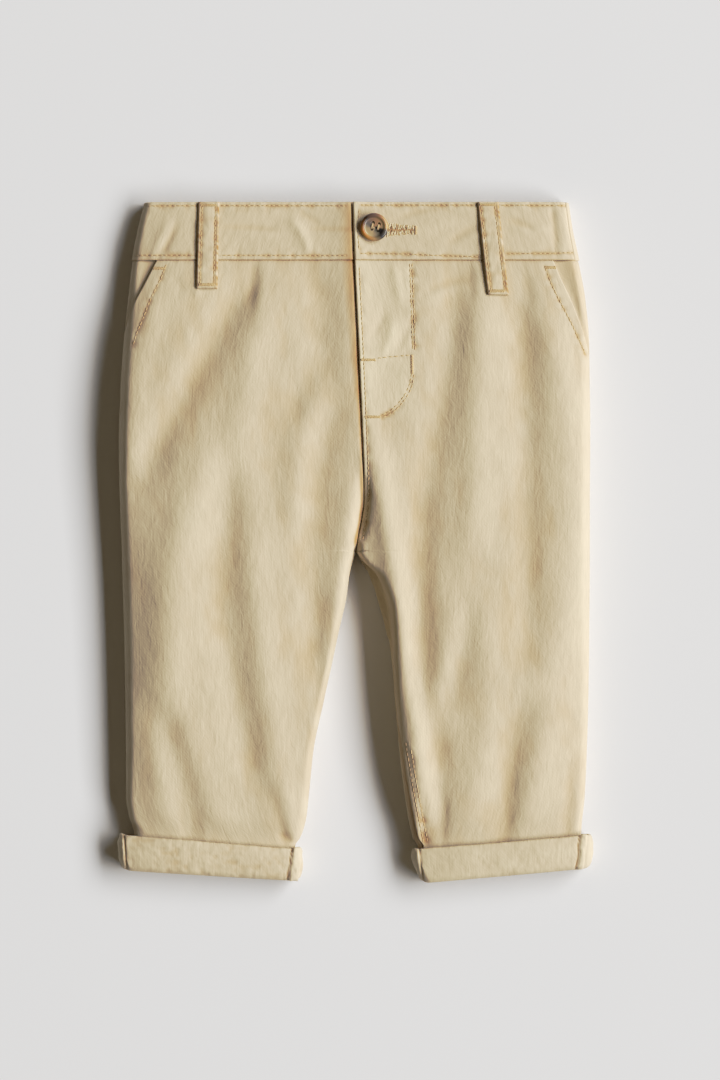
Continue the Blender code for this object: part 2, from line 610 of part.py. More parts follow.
def cuff_ring(side, along, depth):
    """A ring of a cuff at a distance down, moved in from its outer face by a depth."""
    table = CUFF_TABLE[side]
    sign = -1 if side == "right" else 1
    start_x = smooth(table, "outer", along) - sign * depth
    end_x = smooth(table, "inner", along) + sign * depth
    tilt = smooth(table, "tilt", along)
    height = smooth(table, "height", along) - depth
    widest = smooth(table, "widest", along)
    start = np.array((start_x, WAIST_Y - along + tilt))
    end = np.array((end_x, WAIST_Y - along - tilt))
    width = np.linalg.norm(end - start)

    top_round = CUFF_ROUND - CUFF_SHRINK * depth
    low_round = UNDER_ROUND - CUFF_SHRINK * depth
    top = round_ended(width, top_round, 6, 9)
    low = round_ended(width, low_round, 5, 2)[1:-1][::-1]
    top_z = widest + (height - widest) * (rise(top, top_round, CUFF_SHARE)
                                          * rise(width - top, top_round, CUFF_SHARE))
    low_z = widest - (widest - depth) * (quarter(low / low_round)
                                         * quarter((width - low) / low_round))
    across = np.concatenate((top, low))
    x, y = start[:, None] + np.outer((end - start) / width, across)
    return np.stack((x, y, np.concatenate((top_z, low_z))), axis=-1)


def cuff(side, finish):
    """A turned-up cuff: a band round the leg's end, rolled under at the bottom."""
    table = CUFF_TABLE[side]
    top_edge = table["along"][0]
    bottom = table["along"][-1]
    roll = bottom - ROLL_RADIUS
    turns = np.linspace(0, np.pi, ROLL_TURNS)
    outer = [(top_edge, 0.0), (0.5 * (top_edge + roll), 0.0)]
    outer += [(roll + ROLL_RADIUS * np.sin(t), ROLL_RADIUS * (1 - np.cos(t))) for t in turns]
    small = ROLL_RADIUS - CUFF_WALL
    inner = [(top_edge, CUFF_WALL), (0.5 * (top_edge + roll), CUFF_WALL)]
    inner += [(roll + small * np.sin(t), ROLL_RADIUS - small * np.cos(t)) for t in turns]
    outer_grid = np.array([cuff_ring(side, along, depth) for along, depth in outer])
    inner_grid = np.array([cuff_ring(side, along, depth) for along, depth in inner])
    return add_object(f"cuff_{side}", *sheet_solid(outer_grid, inner_grid, True), finish)


def button(finish):
    """A turned disc with a rim and a dished face, cut through by four sewing holes."""
    profile = BUTTON_PROFILE
    turns = BUTTON_TURNS
    angles = np.arange(turns) * 2 * np.pi / turns
    verts = [(0, 0, profile[0][1])]
    for radius, z in profile[1:-1]:
        verts += [(radius * np.cos(a), radius * np.sin(a), z) for a in angles]
    verts.append((0, 0, profile[-1][1]))
    last = len(verts) - 1
    faces = []
    for k in range(turns):
        n = (k + 1) % turns
        faces.append((0, 1 + n, 1 + k))
        for r in range(len(profile) - 3):
            a, b = 1 + r * turns, 1 + (r + 1) * turns
            faces.append((a + k, a + n, b + n, b + k))
        top = 1 + (len(profile) - 3) * turns
        faces.append((top + k, top + n, last))
    x, y = BUTTON_PLACE
    seat = 0.0
    rim = 0.8 * BUTTON_RADIUS
    for dx in (-rim, 0, rim):
        for dy in (-rim, 0, rim):
            down = WAIST_Y - y - dy
            across = abs(x + dx - row_ends("left", down)[0][0])
            seat = max(seat, front_point("left", down, across)[2])
    made = add_object("button", verts, faces, finish)
    made.location = (x * MM, y * MM, (seat + SEAM_GAP) * MM)
    made.data.shade_smooth()
    made.data.set_sharp_from_angle(angle=BUTTON_SHARP)
    cutter = bpy.data.meshes.new("hole_cutter")
    shape = bmesh.new()
    bmesh.ops.create_cone(shape, cap_ends=True, segments=HOLE_SIDES, radius1=HOLE_RADIUS * MM,
                          radius2=HOLE_RADIUS * MM, depth=4 * BUTTON_THICKNESS * MM)
    shape.to_mesh(cutter)
    shape.free()
    for k in range(4):
        angle = np.pi / 4 + k * np.pi / 2
        hole = bpy.data.objects.new(f"hole_cutter_{k}", cutter)
        bpy.context.scene.collection.objects.link(hole)
        reach = HOLE_SPACING / np.sqrt(2)
        hole.location = ((x + reach * np.cos(angle)) * MM, (y + reach * np.sin(angle)) * MM,
                         made.location.z)
        hole.hide_render = True
        hole.display_type = "WIRE"
        cut = made.modifiers.new(f"hole_{k}", "BOOLEAN")
        cut.operation = "DIFFERENCE"
        cut.object = hole
    return made


def main():
    for old in list(bpy.data.objects):
        bpy.data.objects.remove(old)
    cloth = material("cotton_twill", CLOTH_COLOUR, 0.88)
    horn = material("horn_button", BUTTON_COLOUR, 0.35)
    panel_top = BAND_DEPTH + SEAM_GAP / 2
    rows = leg_rows(panel_top)
    band_rows = np.linspace(BAND_TOP, BAND_DEPTH - SEAM_GAP / 2, 5)
    for side in SIDES:
        panel(f"front_{side}", side, rows, front_columns, CLOTH_WALL, cloth)
        panel(f"back_{side}", side, rows, back_columns, CLOTH_WALL, cloth)
        panel(f"waistband_front_{side}", side, band_rows, front_columns, BAND_WALL, cloth)
        pocket_facing(side, cloth)
        belt_loop(side, cloth)
        cuff(side, cloth)
    waistband_back(cloth)
    button(horn)


main()
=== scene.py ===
# %% [markdown]
# # Baby chinos with turned-up cuffs, laid flat
# The trousers lie on their back on a pale table, as a garment is laid out to be looked at from
# above. A plain frame of solids gives the size and place of every sewn piece. This lesson dresses
# each of them in cotton twill, sews the seams, and lights the table.
# Sizes are in millimetres until a mesh is made, because that is how a pattern is drawn.

import bpy
import numpy as np
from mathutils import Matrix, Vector
from mathutils.bvhtree import BVHTree


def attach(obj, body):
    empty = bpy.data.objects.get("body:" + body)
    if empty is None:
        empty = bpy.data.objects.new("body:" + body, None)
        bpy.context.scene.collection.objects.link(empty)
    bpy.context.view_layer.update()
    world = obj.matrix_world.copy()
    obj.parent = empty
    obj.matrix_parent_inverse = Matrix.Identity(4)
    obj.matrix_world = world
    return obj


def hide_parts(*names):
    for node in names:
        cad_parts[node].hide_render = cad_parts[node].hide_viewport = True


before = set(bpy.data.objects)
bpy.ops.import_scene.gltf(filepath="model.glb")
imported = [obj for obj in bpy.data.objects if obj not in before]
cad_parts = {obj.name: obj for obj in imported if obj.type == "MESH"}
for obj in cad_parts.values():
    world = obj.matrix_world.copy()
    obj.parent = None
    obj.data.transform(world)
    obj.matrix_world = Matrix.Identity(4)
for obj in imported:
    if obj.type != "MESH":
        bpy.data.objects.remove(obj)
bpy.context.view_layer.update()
MM = 0.001
SIDES = ("right", "left")
SIGN = {"right": -1, "left": 1}        # where a side lies along X: the front faces up

# %% [markdown]
# ## Camera and light
# Clothes are laid out under a camera that looks straight down from far away, so the legs don't
# lean outwards. A long lens at three metres does the same here. The light is a wide, low window
# on the right. It stands far off, so that it falls evenly over the table, and it is much wider
# than it is high, so the legs cast soft shadows on the left. A warm room fills them in. A
# camera's response is steep in the middle tones and rolls off the bright ones, so that lit cloth
# looks creamy and shaded cloth rich.

# %% Camera
CAMERA_PLACE = (2.16, 0.27, 3000.0)
VIEW_LENGTH = 583.2


def add_object(name, data):
    """Put a new object that holds some data into the scene."""
    made = bpy.data.objects.new(name, data)
    bpy.context.scene.collection.objects.link(made)
    return made


camera = add_object("camera", bpy.data.cameras.new("camera"))
camera.data.lens = camera.data.sensor_width * CAMERA_PLACE[2] / VIEW_LENGTH
camera.data.clip_end = 50.0
camera.location = Vector(CAMERA_PLACE) * MM
bpy.context.scene.camera = camera
print("lens:", round(camera.data.lens, 1), "mm")

# %% Light
WINDOW_ELEVATION, WINDOW_AZIMUTH = np.radians((40, 4))     # the second from +X towards +Y
WINDOW_DISTANCE = 16.0     # metres
WINDOW_SIZE = (24.0, 6.8)  # metres, along Y and upwards
WINDOW_POWER = 5060.0
FILL_STRENGTH = 0.088

window = add_object("window", bpy.data.lights.new("window", "AREA"))
window.data.shape = "RECTANGLE"
window.data.size, window.data.size_y = WINDOW_SIZE
window.data.energy = WINDOW_POWER
window.data.color = (0.98, 0.99, 1.01)
level = np.cos(WINDOW_ELEVATION)
towards = Vector((level * np.cos(WINDOW_AZIMUTH), level * np.sin(WINDOW_AZIMUTH),
                  np.sin(WINDOW_ELEVATION)))
window.rotation_euler = towards.to_track_quat("Z", "Y").to_euler()
window.location = towards * WINDOW_DISTANCE

world = bpy.data.worlds.new("warm_room")
world.use_nodes = True
fill = world.node_tree.nodes["Background"].inputs
fill["Color"].default_value = (1.0, 0.76, 0.44, 1.0)
fill["Strength"].default_value = FILL_STRENGTH
bpy.context.scene.world = world
print("window towards", [round(v, 2) for v in towards])

# %% Camera response
RESPONSE = ((0.07, 0.068), (0.235, 0.2), (0.35, 0.335), (0.45, 0.45), (0.55, 0.54), (0.65, 0.62),
            (0.815, 0.735))
WHITE = (1.0, 0.85)

view = bpy.context.scene.view_settings
view.view_transform = "Standard"
view.use_curve_mapping = True
response = view.curve_mapping.curves[3]
for place in RESPONSE:
    response.points.new(*place)
response.points[-1].location = WHITE
view.curve_mapping.update()
print("response points:", len(response.points))

# %% [markdown]
# ## Small tools
# Every surface below is a grid of points: a shape is worked out as whole arrays, and one function
# puts it into a mesh. A cloth piece is two such grids, its face and its lining side, joined round
# their edges, so that it is a thin closed wall like real cloth.

# %% Easing, tables and noise
def ease(t):
    """Go from 0 to 1 with a flat start and end: three times t squared less twice t cubed."""
    t = np.clip(t, 0, 1)
    return t * t * (3 - 2 * t)


def quarter(t):
    """Rise from 0 to 1 along a quarter of a circle."""
    return np.sqrt(1 - (1 - np.clip(t, 0, 1)) ** 2)


def bell(away, spread):
    """Fall from 1 as e to the power of minus the square of a distance over a spread."""
    return np.exp(-(away / spread) ** 2)


def roll(distance, radius):
    """How far a folded edge drops below the face: a quarter circle of the given radius."""
    return radius * (1 - quarter(distance / radius))


def columns(names, rows):
    """Give a table's columns by name."""
    return dict(zip(names.split(), np.array(rows, float).T))


def smooth(table, name, at):
    """Value of a column: a cubic between the rows, with slopes that never overshoot them."""
    known, values = table[list(table)[0]], table[name]
    rise = np.diff(values) / np.diff(known)
    product = rise[:-1] * rise[1:]
    total = np.where(product > 0, rise[:-1] + rise[1:], 1)
    slopes = np.concatenate((rise[:1], np.where(product > 0, 2 * product / total, 0), rise[-1:]))
    at = np.clip(at, known[0] - 1, known[-1] + 1)
    k = np.clip(np.searchsorted(known, at) - 1, 0, len(known) - 2)
    step = known[k + 1] - known[k]
    t = (at - known[k]) / step
    return ((1 + 2 * t) * (1 - t) ** 2 * values[k] + t * (1 - t) ** 2 * step * slopes[k]
            + t ** 2 * (3 - 2 * t) * values[k + 1] + t ** 2 * (t - 1) * step * slopes[k + 1])


def noise(u, v, seed):
    """Smooth random heights from -1 to 1: random values on a lattice, eased between points."""
    size = 128
    lattice = np.random.default_rng(seed).uniform(-1, 1, (size, size))
    i, j = np.floor(u).astype(int), np.floor(v).astype(int)
    a, b = ease(u - i), ease(v - j)
    i, j, k, m = i % size, j % size, (i + 1) % size, (j + 1) % size
    low = lattice[i, j] * (1 - a) + lattice[k, j] * a
    high = lattice[i, m] * (1 - a) + lattice[k, m] * a
    return low * (1 - b) + high * b


def travelled(*steps):
    """Distance travelled along a row of points, from the steps along each axis."""
    return np.append(0, np.cumsum(np.hypot(*steps)))


print("ease(0.5) =", ease(0.5), " quarter(0.5) =", round(float(quarter(0.5)), 3))

# %% Meshes from grids
def grid_quads(rows, cols, closed=False):
    """Corners of a grid's quads, a row for each quad; closed joins the last column to the first."""
    r, c = np.meshgrid(np.arange(rows - 1), np.arange(cols if closed else cols - 1), indexing="ij")
    n = (c + 1) % cols
    return np.stack((r * cols + c, (r + 1) * cols + c, (r + 1) * cols + n, r * cols + n),
                    axis=-1).reshape(-1, 4)


def wall_quads(rows, cols, closed=False):
    """Quads of a wall between two equal grids: both faces, and strips round the open edges."""
    face, count = grid_quads(rows, cols, closed), rows * cols
    index = np.arange(count).reshape(rows, cols)
    ahead = np.append(index, index[:, :1], axis=1) if closed else index
    edges = [ahead[0], ahead[-1, ::-1]] + ([] if closed else [index[:, -1], index[::-1, 0]])
    strips = [np.stack((e[:-1], e[1:], e[1:] + count, e[:-1] + count), axis=-1) for e in edges]
    return np.concatenate([face, face[:, ::-1] + count] + strips)


def make_piece(name, points, quads, finish, uv=None, tone=None):
    """Put points in millimetres and quads into a smooth mesh whose faces point out."""
    points = np.asarray(points, float).reshape(-1, 3)
    a, b, c, d = points[quads.T]
    if np.sum(a * (np.cross(b, c) + np.cross(c, d))) < 0:      # six times the volume inside
        quads = quads[:, ::-1]
    mesh = bpy.data.meshes.new(name)
    mesh.vertices.add(len(points))
    mesh.vertices.foreach_set("co", (points * MM).ravel())
    mesh.loops.add(quads.size)
    mesh.loops.foreach_set("vertex_index", quads.ravel())
    mesh.polygons.add(len(quads))
    mesh.polygons.foreach_set("loop_start", np.arange(0, quads.size, 4))
    mesh.polygons.foreach_set("use_smooth", np.ones(len(quads), bool))
    mesh.update(calc_edges=True)
    if uv is not None:
        mesh.uv_layers.new(name="cloth").data.foreach_set("uv", uv[quads.ravel()].ravel())
        mesh.attributes.new("tone", "FLOAT", "POINT").data.foreach_set("value", tone)
    mesh.materials.append(finish)
    made = add_object(name, mesh)
    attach(made, "root")
    return made


def normals(grid, turned=False):
    """Unit normals of a grid, from the cross product of its steps down and across."""
    normal = np.cross(*np.gradient(grid, axis=(0, 1))) * (-1 if turned else 1)
    return normal / np.maximum(np.linalg.norm(normal, axis=-1, keepdims=True), 1e-9)


print("a 3 by 4 wall has", len(wall_quads(3, 4)), "quads")

# %% [markdown]
# ## Colours and cloth
# The cloth is cotton twill, piece-dyed in a pale khaki and washed. Twill has fine diagonal ridges,
# and its warp yarns have slubs, which show as short streaks down the leg. Washing leaves the raised
# seams a little paler. The hollows beside the stitching, the troughs of folds, slits and seams are
# drawn warmer and darker, which is painted shade. Real ridges are
# 0.5 mm apart, too fine to show from here, so they are drawn 0.9 mm apart.
# The pattern reads the piece's own UV map, which holds distances on the cloth, so it bends
# round the legs with it.

# %% Nodes
def to_linear(code):
    """Turn an sRGB hex colour into linear values, with the sRGB curve."""
    part = np.array([int(code[k:k + 2], 16) for k in (1, 3, 5)]) / 255
    linear = np.where(part <= 0.04045, part / 12.92, ((part + 0.055) / 1.055) ** 2.4)
    return (*linear, 1.0)


def fill_sockets(node, inputs):
    """Set a node's inputs: a socket is linked, an sRGB code or a value is put in."""
    for name, value in inputs.items():
        if isinstance(value, bpy.types.NodeSocket):
            node.id_data.links.new(value, node.inputs[name])
        else:
            node.inputs[name].default_value = to_linear(value) if isinstance(value, str) else value


def add_node(kind, inputs, out=0, **settings):
    """Add a node with its settings and inputs to the open tree, and give one of its outputs."""
    made = tree.nodes.new("ShaderNode" + kind)
    for name, value in settings.items():
        setattr(made, name, value)
    fill_sockets(made, inputs)
    return made.outputs[out]


def calculate(operation, *values, kind="Math", out=0):
    """Put values or sockets through a math node."""
    return add_node(kind, dict(enumerate(values)), out, operation=operation)


def remap(value, low, high, to_low=0.0, to_high=1.0):
    """Carry a value from one range to another, and keep it inside."""
    return add_node("MapRange", {"Value": value, "From Min": low, "From Max": high,
                                 "To Min": to_low, "To Max": to_high})


def speckle(place, scale, detail, roughness, out="Fac", distortion=0.0):
    """Noise over some coordinates."""
    return add_node("TexNoise", {"Vector": place, "Scale": scale, "Detail": detail,
                                 "Roughness": roughness, "Distortion": distortion}, out)


def mix(share, first, second):
    """Mix two colours by a share."""
    return add_node("Mix", {0: share, 6: first, 7: second}, 2, data_type="RGBA")


def new_material(name, **sockets):
    """Give a material and its shader, with sockets set, and its node tree, now the open one."""
    made = bpy.data.materials.new(name)
    made.use_nodes = True
    shader = made.node_tree.nodes["Principled BSDF"]
    fill_sockets(shader, {key.replace("_", " "): value for key, value in sockets.items()})
    return made, shader, made.node_tree


print("khaki in linear:", [round(v, 3) for v in to_linear("#d4c4a8")[:3]])

# %% Cotton twill
# the third colour is a warm, dark painted shade, which the tone attribute mixes into hollows and shadows
KHAKI, KHAKI_WORN, KHAKI_PAINTED_SHADE = "#d4c4a8", "#e6d9ba", "#a97f48"
UV_UNIT = 100.0            # millimetres to one unit of the UV map
WALE = 0.9                 # twill ridge spacing as drawn
FUZZ = 0.5
CLOUDS = 0.045             # clouds in the dye, to a millimetre
SLUB = (0.9, 11.0)         # width and length of a slub
CRUMPLE = (3.4, 7.5)       # width and length of the smallest crumples

twill, shader, tree = new_material(
    "washed_cotton_twill", Roughness=0.88, IOR=1.46, Specular_IOR_Level=0.2,
    Diffuse_Roughness=0.15, Sheen_Weight=0.05, Sheen_Roughness=0.5)
cloth_map = add_node("UVMap", {}, uv_map="cloth")
in_mm, in_slubs, in_crumples = (
    add_node("Mapping", {"Vector": cloth_map, "Scale": scale})
    for scale in ((UV_UNIT,) * 3, (UV_UNIT / SLUB[0], UV_UNIT / SLUB[1], 1.0),
                  (UV_UNIT / CRUMPLE[0], UV_UNIT / CRUMPLE[1], 1.0)))
wales = add_node("TexWave", {"Vector": in_mm, "Scale": 2 * np.pi / WALE / 20, "Distortion": 1.2,
                             "Detail": 1.0, "Detail Scale": 0.7}, "Fac",
                 wave_type="BANDS", bands_direction="DIAGONAL")
slubs = speckle(in_slubs, 1.0, 2.0, 0.6)
fuzz = speckle(in_mm, 1 / FUZZ, 3.0, 0.7)
clouds = speckle(in_mm, CLOUDS, 4.0, 0.62)
crumples = speckle(in_crumples, 1.0, 3.0, 0.6, distortion=0.5)
tone = add_node("Attribute", {}, "Fac", attribute_name="tone")
# tone above zero pales the dye towards the worn colour; tone below zero mixes in the painted shade
dye = mix(remap(tone, 0.0, 1.0), KHAKI, KHAKI_WORN)
dye = mix(remap(tone, 0.0, -1.0), dye, KHAKI_PAINTED_SHADE)
uneven = calculate("MULTIPLY", remap(slubs, 0.3, 0.7, 0.94, 1.05),
                   remap(clouds, 0.3, 0.7, 0.965, 1.03))
weave = calculate("MULTIPLY_ADD", wales, 0.15, slubs)
weave = calculate("MULTIPLY_ADD", fuzz, 0.6, weave)
rough = add_node("Bump", {"Height": crumples, "Distance": 0.5 * MM, "Strength": 0.6})
fill_sockets(shader, {
    "Base Color": add_node("VectorMath", {0: dye, "Scale": uneven}, operation="SCALE"),
    "Normal": add_node("Bump", {"Height": weave, "Distance": 0.12 * MM, "Strength": 0.6,
                                "Normal": rough})})
print("twill nodes:", len(tree.nodes))

# %% Thread and table
thread = new_material("polyester_core_thread", Base_Color="#d0b58a", Roughness=0.6, IOR=1.53,
                      Sheen_Weight=0.2)[0]
pale_thread = new_material("undyed_cotton_thread", Base_Color="#efe3c4", Roughness=0.7)[0]
# a dark brown that stands for the shade inside a needle hole: painted shade
hole_shade = new_material("shaded_needle_hole", Base_Color="#7b5c34", Roughness=0.95)[0]
table_top = new_material("matt_painted_table", Base_Color="#e8e8e8", Roughness=0.9)[0]
print("plain finishes made")

# %% Horn
BUTTON_PLACE = (9.7, 168.2)
CLOUD = (0.34, 2.4)        # scale of the clouds, and how far they bend the colours, in mm
# colours round the rim and round the dished face: share of a turn from +X towards +Y, and colour
HORN_RIM = ((0.0, "#c2a273"), (0.13, "#a98257"), (0.24, "#76594d"), (0.37, "#2b1c11"),
            (0.46, "#6b3f14"), (0.56, "#a9691f"), (0.66, "#b98a45"), (0.76, "#ae9264"),
            (0.86, "#3b3a3c"), (0.95, "#6a6258"), (1.0, "#c2a273"))
HORN_FACE = ((0.0, "#a58b66"), (0.16, "#a5845c"), (0.3, "#8c6f57"), (0.42, "#6f6660"),
             (0.52, "#a89878"), (0.7, "#b3a07c"), (0.8, "#8d8069"), (0.87, "#141212"),
             (0.95, "#1f1c1b"), (1.0, "#a58b66"))


def ramp(value, stops):
    """Colours along a value, from rows of place and sRGB colour."""
    made = add_node("ValToRGB", {"Fac": value})
    elements = made.node.color_ramp.elements
    for k, (place, code) in enumerate(stops):
        stop = elements[k] if k < 2 else elements.new(place)
        stop.position, stop.color = place, to_linear(code)
    return made


def split(vector):
    """The X and Y of a vector."""
    x = add_node("SeparateXYZ", {"Vector": vector})
    return x, x.node.outputs["Y"]


horn, shader, tree = new_material("polished_horn", Roughness=0.3, IOR=1.54)
place = add_node("TexCoord", {}, "Object")
place = calculate("SUBTRACT", place, (BUTTON_PLACE[0] * MM, BUTTON_PLACE[1] * MM, 0.0),
                  kind="VectorMath")
place = add_node("VectorMath", {0: place, "Scale": 1 / MM}, operation="SCALE")
clouds = speckle(place, CLOUD[0], 4.0, 0.55, "Color")
bent = calculate("MULTIPLY_ADD", clouds, (CLOUD[1],) * 3, place, kind="VectorMath")
bent = calculate("SUBTRACT", bent, (CLOUD[1] / 2,) * 3, kind="VectorMath")
x, y = split(bent)
turn = calculate("FRACT", calculate("MULTIPLY", calculate("ARCTAN2", y, x), 1 / (2 * np.pi)))
x, y = split(place)
reach = calculate("LENGTH", add_node("CombineXYZ", {"X": x, "Y": y}), kind="VectorMath",
                  out="Value")
fill_sockets(shader, {"Base Color": mix(remap(reach, 4.9, 5.6), ramp(turn, HORN_FACE),
                                        ramp(turn, HORN_RIM))})
print("horn nodes:", len(tree.nodes))

# %% The table
TABLE_HALF = 15.0          # metres
TABLE_GAP = 0.1            # below the cloth, so that the two never share a plane

top = bpy.data.meshes.new("table")
top.from_pydata([(x * TABLE_HALF, y * TABLE_HALF, -TABLE_GAP * MM)
                 for x, y in ((-1, -1), (1, -1), (1, 1), (-1, 1))], [], [(0, 1, 2, 3)])
top.materials.append(table_top)
table = add_object("table", top)
print("table:", 2 * TABLE_HALF, "m across")


# %% [markdown]
# ## The form of the garment
# Each leg, with its half of the seat, is a ring of cloth. At every distance down from the waist,
# the ring has a round outer edge, a front, a round inner edge and a flat underside. Short tables
# say how wide and how high it is, and cubics run between their rows. They follow the solids'
# tables, so every piece of cloth lies where its solid lies. "down" is the distance below the
# waist edge, and "across" runs over a row from its outer edge.

# %% Outline and section
WAIST_Y = 183.0
BAND_TOP = 0.7
BAND_DEPTH = 32.4
CROTCH_DOWN = 189.0
HEM_DOWN = 359.6
SEAM_GAP = 0.3
RING_SAMPLES = 160

OUTER = {
    "right": columns("down outer tilt", (
        (0, -113.9, 0), (17, -118, 0), (33, -121, 0), (53, -123.1, 0), (75, -125.3, 0),
        (102, -127.2, 0), (129, -128, 0), (164, -127.4, 0), (192, -126.4, 0), (242, -125, 0),
        (269, -124.6, 0.6), (296, -124.2, 1.9), (325, -124.2, 3), (332, -123.1, 3.2),
        (340, -121.3, 3.5), (346, -119.6, 3.5), (362, -122.6, 2.9))),
    "left": columns("down outer tilt", (
        (0, 114.5, 0), (17, 117.2, 0), (33, 120.6, 0), (53, 124.2, 0), (75, 126.1, 0),
        (102, 126.4, 0), (129, 126.6, 0), (164, 126.4, 0), (192, 126.4, 0), (242, 126.1, 0),
        (269, 125.8, 0.6), (296, 125, 1.9), (323, 123.9, 3.2), (345, 122, 3.9),
        (362, 124.4, 3.8))),
}
CENTRE = columns("down inner", (
    (0, -2), (33, -0.9), (75, 1.1), (129, 3.4), (150, 4.1), (162, 4.2), (172, 3), (180, 1.4),
    (189, 0)))
INNER = {
    "right": columns("down inner", (
        (189, 0), (202, -3.2), (215, -4.9), (228, -7.8), (242, -10.8), (269, -16.7),
        (294, -22.1), (316, -24.5), (329, -26), (336, -27.8), (340, -29.6), (344, -32.3),
        (350, -33), (362, -33.2))),
    "left": columns("down inner", (
        (189, 0), (195, 2.2), (201, 6), (215, 10.8), (229, 14.6), (242, 17.8), (269, 20.4),
        (296, 22.8), (323, 26.4), (335, 28.8), (340, 30.2), (343.6, 32.5), (350, 33.4),
        (362, 37))),
}
SECTION = columns("down height outer_round inner_round outer_share inner_share widest", (
    (0, 13, 4.2, 4, 0.72, 0.85, 4.8), (32, 17.2, 4.6, 4.4, 0.72, 0.85, 5.2),
    (60, 20.8, 5, 4.8, 0.72, 0.85, 6), (90, 22.8, 5.4, 5, 0.74, 0.85, 6.8),
    (140, 23.6, 5.6, 5, 0.72, 0.85, 7.2), (189, 23, 5.6, 3.6, 0.62, 0.87, 7),
    (240, 22.4, 5.4, 3.2, 0.54, 0.9, 7), (300, 20.6, 5, 3.8, 0.58, 0.9, 6.8),
    (330, 17.4, 4.6, 4.6, 0.64, 0.85, 6.6), (346, 14, 4.2, 4.2, 0.7, 0.75, 6.6),
    (362, 12.2, 4, 4, 0.7, 0.75, 6.4)))
CROWN = 34.0               # reach of the low crown that makes up the rest of the height
CROWN_ROWS = range(-16, 17, 4)
FOLD_START = 6.0           # distance from an edge at which folds reach their full height
FOLD_FADE = (330.0, 345.0)     # distances down between which raised folds fade
UNDER_ROUND = 5.5
HEM_LIFT = (326.0, 343.0, 2.2)
SADDLE = 0.45
FOOT_EDGE, FOOT_GROWTH = 1.8, 3.0
SEAMS = {
    "right": columns("down outer_seam inner_seam foot", (
        (0, 0.3, 0, 0), (189, 0.3, 0, 0), (215, 0.3, 0.2, 0), (330, 0.3, 0.4, 0),
        (362, 0.6, 0.4, 0))),
    "left": columns("down outer_seam inner_seam foot", (
        (0, 1.6, 0, 0), (33, 2.7, 0, 0), (45, 3, 0, 0), (69, 1.6, 0, 0), (80, 0.5, 0, 0),
        (189, 0.4, 0, 0), (201, 0.4, 4.6, 4.2), (215, 0.4, 5.8, 5.2), (229, 0.5, 4, 3.4),
        (242, 0.5, 1.6, 1), (265, 0.6, 0.6, 0), (300, 1, 2.2, 0), (330, 1.6, 3, 0),
        (362, 1.8, 3, 0))),
}
POCKET = {
    "right": columns("down mouth", (
        (32, 13.7), (40, 10.6), (47, 7.6), (54, 4.6), (61, 2.6), (70, 0.4))),
    "left": columns("down mouth", (
        (32, 14.3), (42, 12.2), (57, 7.6), (66, 5), (74, 2.8), (80, 1.4), (86, 0.4))),
}
BAND_LAP = {"dip": 2.2, "lead": 1.1, "underlap": 20.0}
LAP = columns("down dip lead underlap", (
    (32, 1.6, 1.1, 8), (90, 1.4, 1.1, 6.5), (120, 1.4, 1.1, 4.5), (130, 1.4, 1.1, 2),
    (138, 1.3, 1.1, 0), (156, 0, 1.1, 0), (189, 0, 1, 0)))
LAP_SINK = (1.0, 5.0, 150.0, 80.0)     # depth, reach, and where it ends and how slowly
FLY_SWELL = (1.9, 8.5, 175.0, 110.0)   # height, reach, and where it ends and how slowly
CENTRE_SPARE = 3.0
CREASE = (140.0, 188.0, 30.0, 12.0, 3.0, 4.0)  # first and last, their fades, reach and depth
print("waist", OUTER["left"]["outer"][0] - OUTER["right"]["outer"][0], "mm wide")

# %% [markdown]
# ### Folds
# Cloth that has been worn and laid down keeps soft folds. The large ones run down the legs and
# start where the cloth is held: at the pockets, the fly and the cuffs. They are listed
# one row each: both ends, how far the line bows sideways, its half width, and its height, which is
# below zero for a trough. The first table is the solids', a little softer near the cuffs. The
# second adds the smaller creases, which are too shallow for a solid but catch the light.

# %% Folds
FOLD_NAMES = "x0 y0 x1 y1 bow spread height"
FOLDS = columns(FOLD_NAMES, (
    (-108, 131, -121, 38.1, -3.7, 7, 1.2),           # right hip edge
    (-57.2, 138, -113.9, 32.7, -2, 9, -2.6),         # right thigh, across to the outer edge
    (-45.4, 135.3, -59.4, 21.9, -6.5, 11, 1.8), (-76.1, 54.3, -101.5, -86.1, -7.8, 13, 2.6),
    (-67, 38.1, -50.8, -134.7, -10.1, 10, -1.9),     # right leg, middle
    (-57.2, 11.1, -38.3, -159, -1.4, 10, 1.6),
    (-23.8, 146.1, -31.9, 70.5, 8.7, 9, -1.2),       # beside the fly
    (-19.4, 82.4, -32.4, 11.1, -3.9, 8, 1.2), (-15.1, 67.8, -19.4, -75.3, -5.6, 9, -1.9),
    (-2.2, 32.7, -16.7, -67.2, 1.3, 6, 1.2),
    (-110.7, -98, -99.4, -161.7, -1.7, 8, 0.9),      # right leg, above the cuff
    (-104.8, -92.6, -88.6, -164.4, 3.6, 8, -1.1), (-91.8, -98, -69.1, -160.7, -1, 9, 1.1),
    (10.3, 48.9, 37.8, -150, 0.3, 7, 3),             # left leg, inner edge
    (55.6, 147.2, 36.7, 24.6, 1.5, 9, -2), (36.7, 24.6, 33.5, -86.1, -0.8, 8, -2.2),
    (43.2, -102.3, 40.5, -161.7, 2.3, 6.5, -1.4),
    (65.3, 129.9, 61, -10.5, 2.1, 10, 2),            # left leg, middle
    (57.2, -31.1, 42.1, -88.8, -0.5, 8, 1), (60.5, -32.1, 48.6, -89.4, 1.8, 7, -1),
    (68.6, -34.8, 58.3, -153.6, 5.9, 10, 1.4),
    (88.6, 138, 92.3, -64.5, 1.3, 9, -2.4),          # left leg, outer part
    (90.7, -86.1, 80.5, -160.7, -3.4, 9, -1.4), (102.1, 119.1, 112.9, -53.7, 10.3, 10, 1.8),
    (106.4, -83.4, 86.9, -157.4, 0.3, 9, 1.1)))
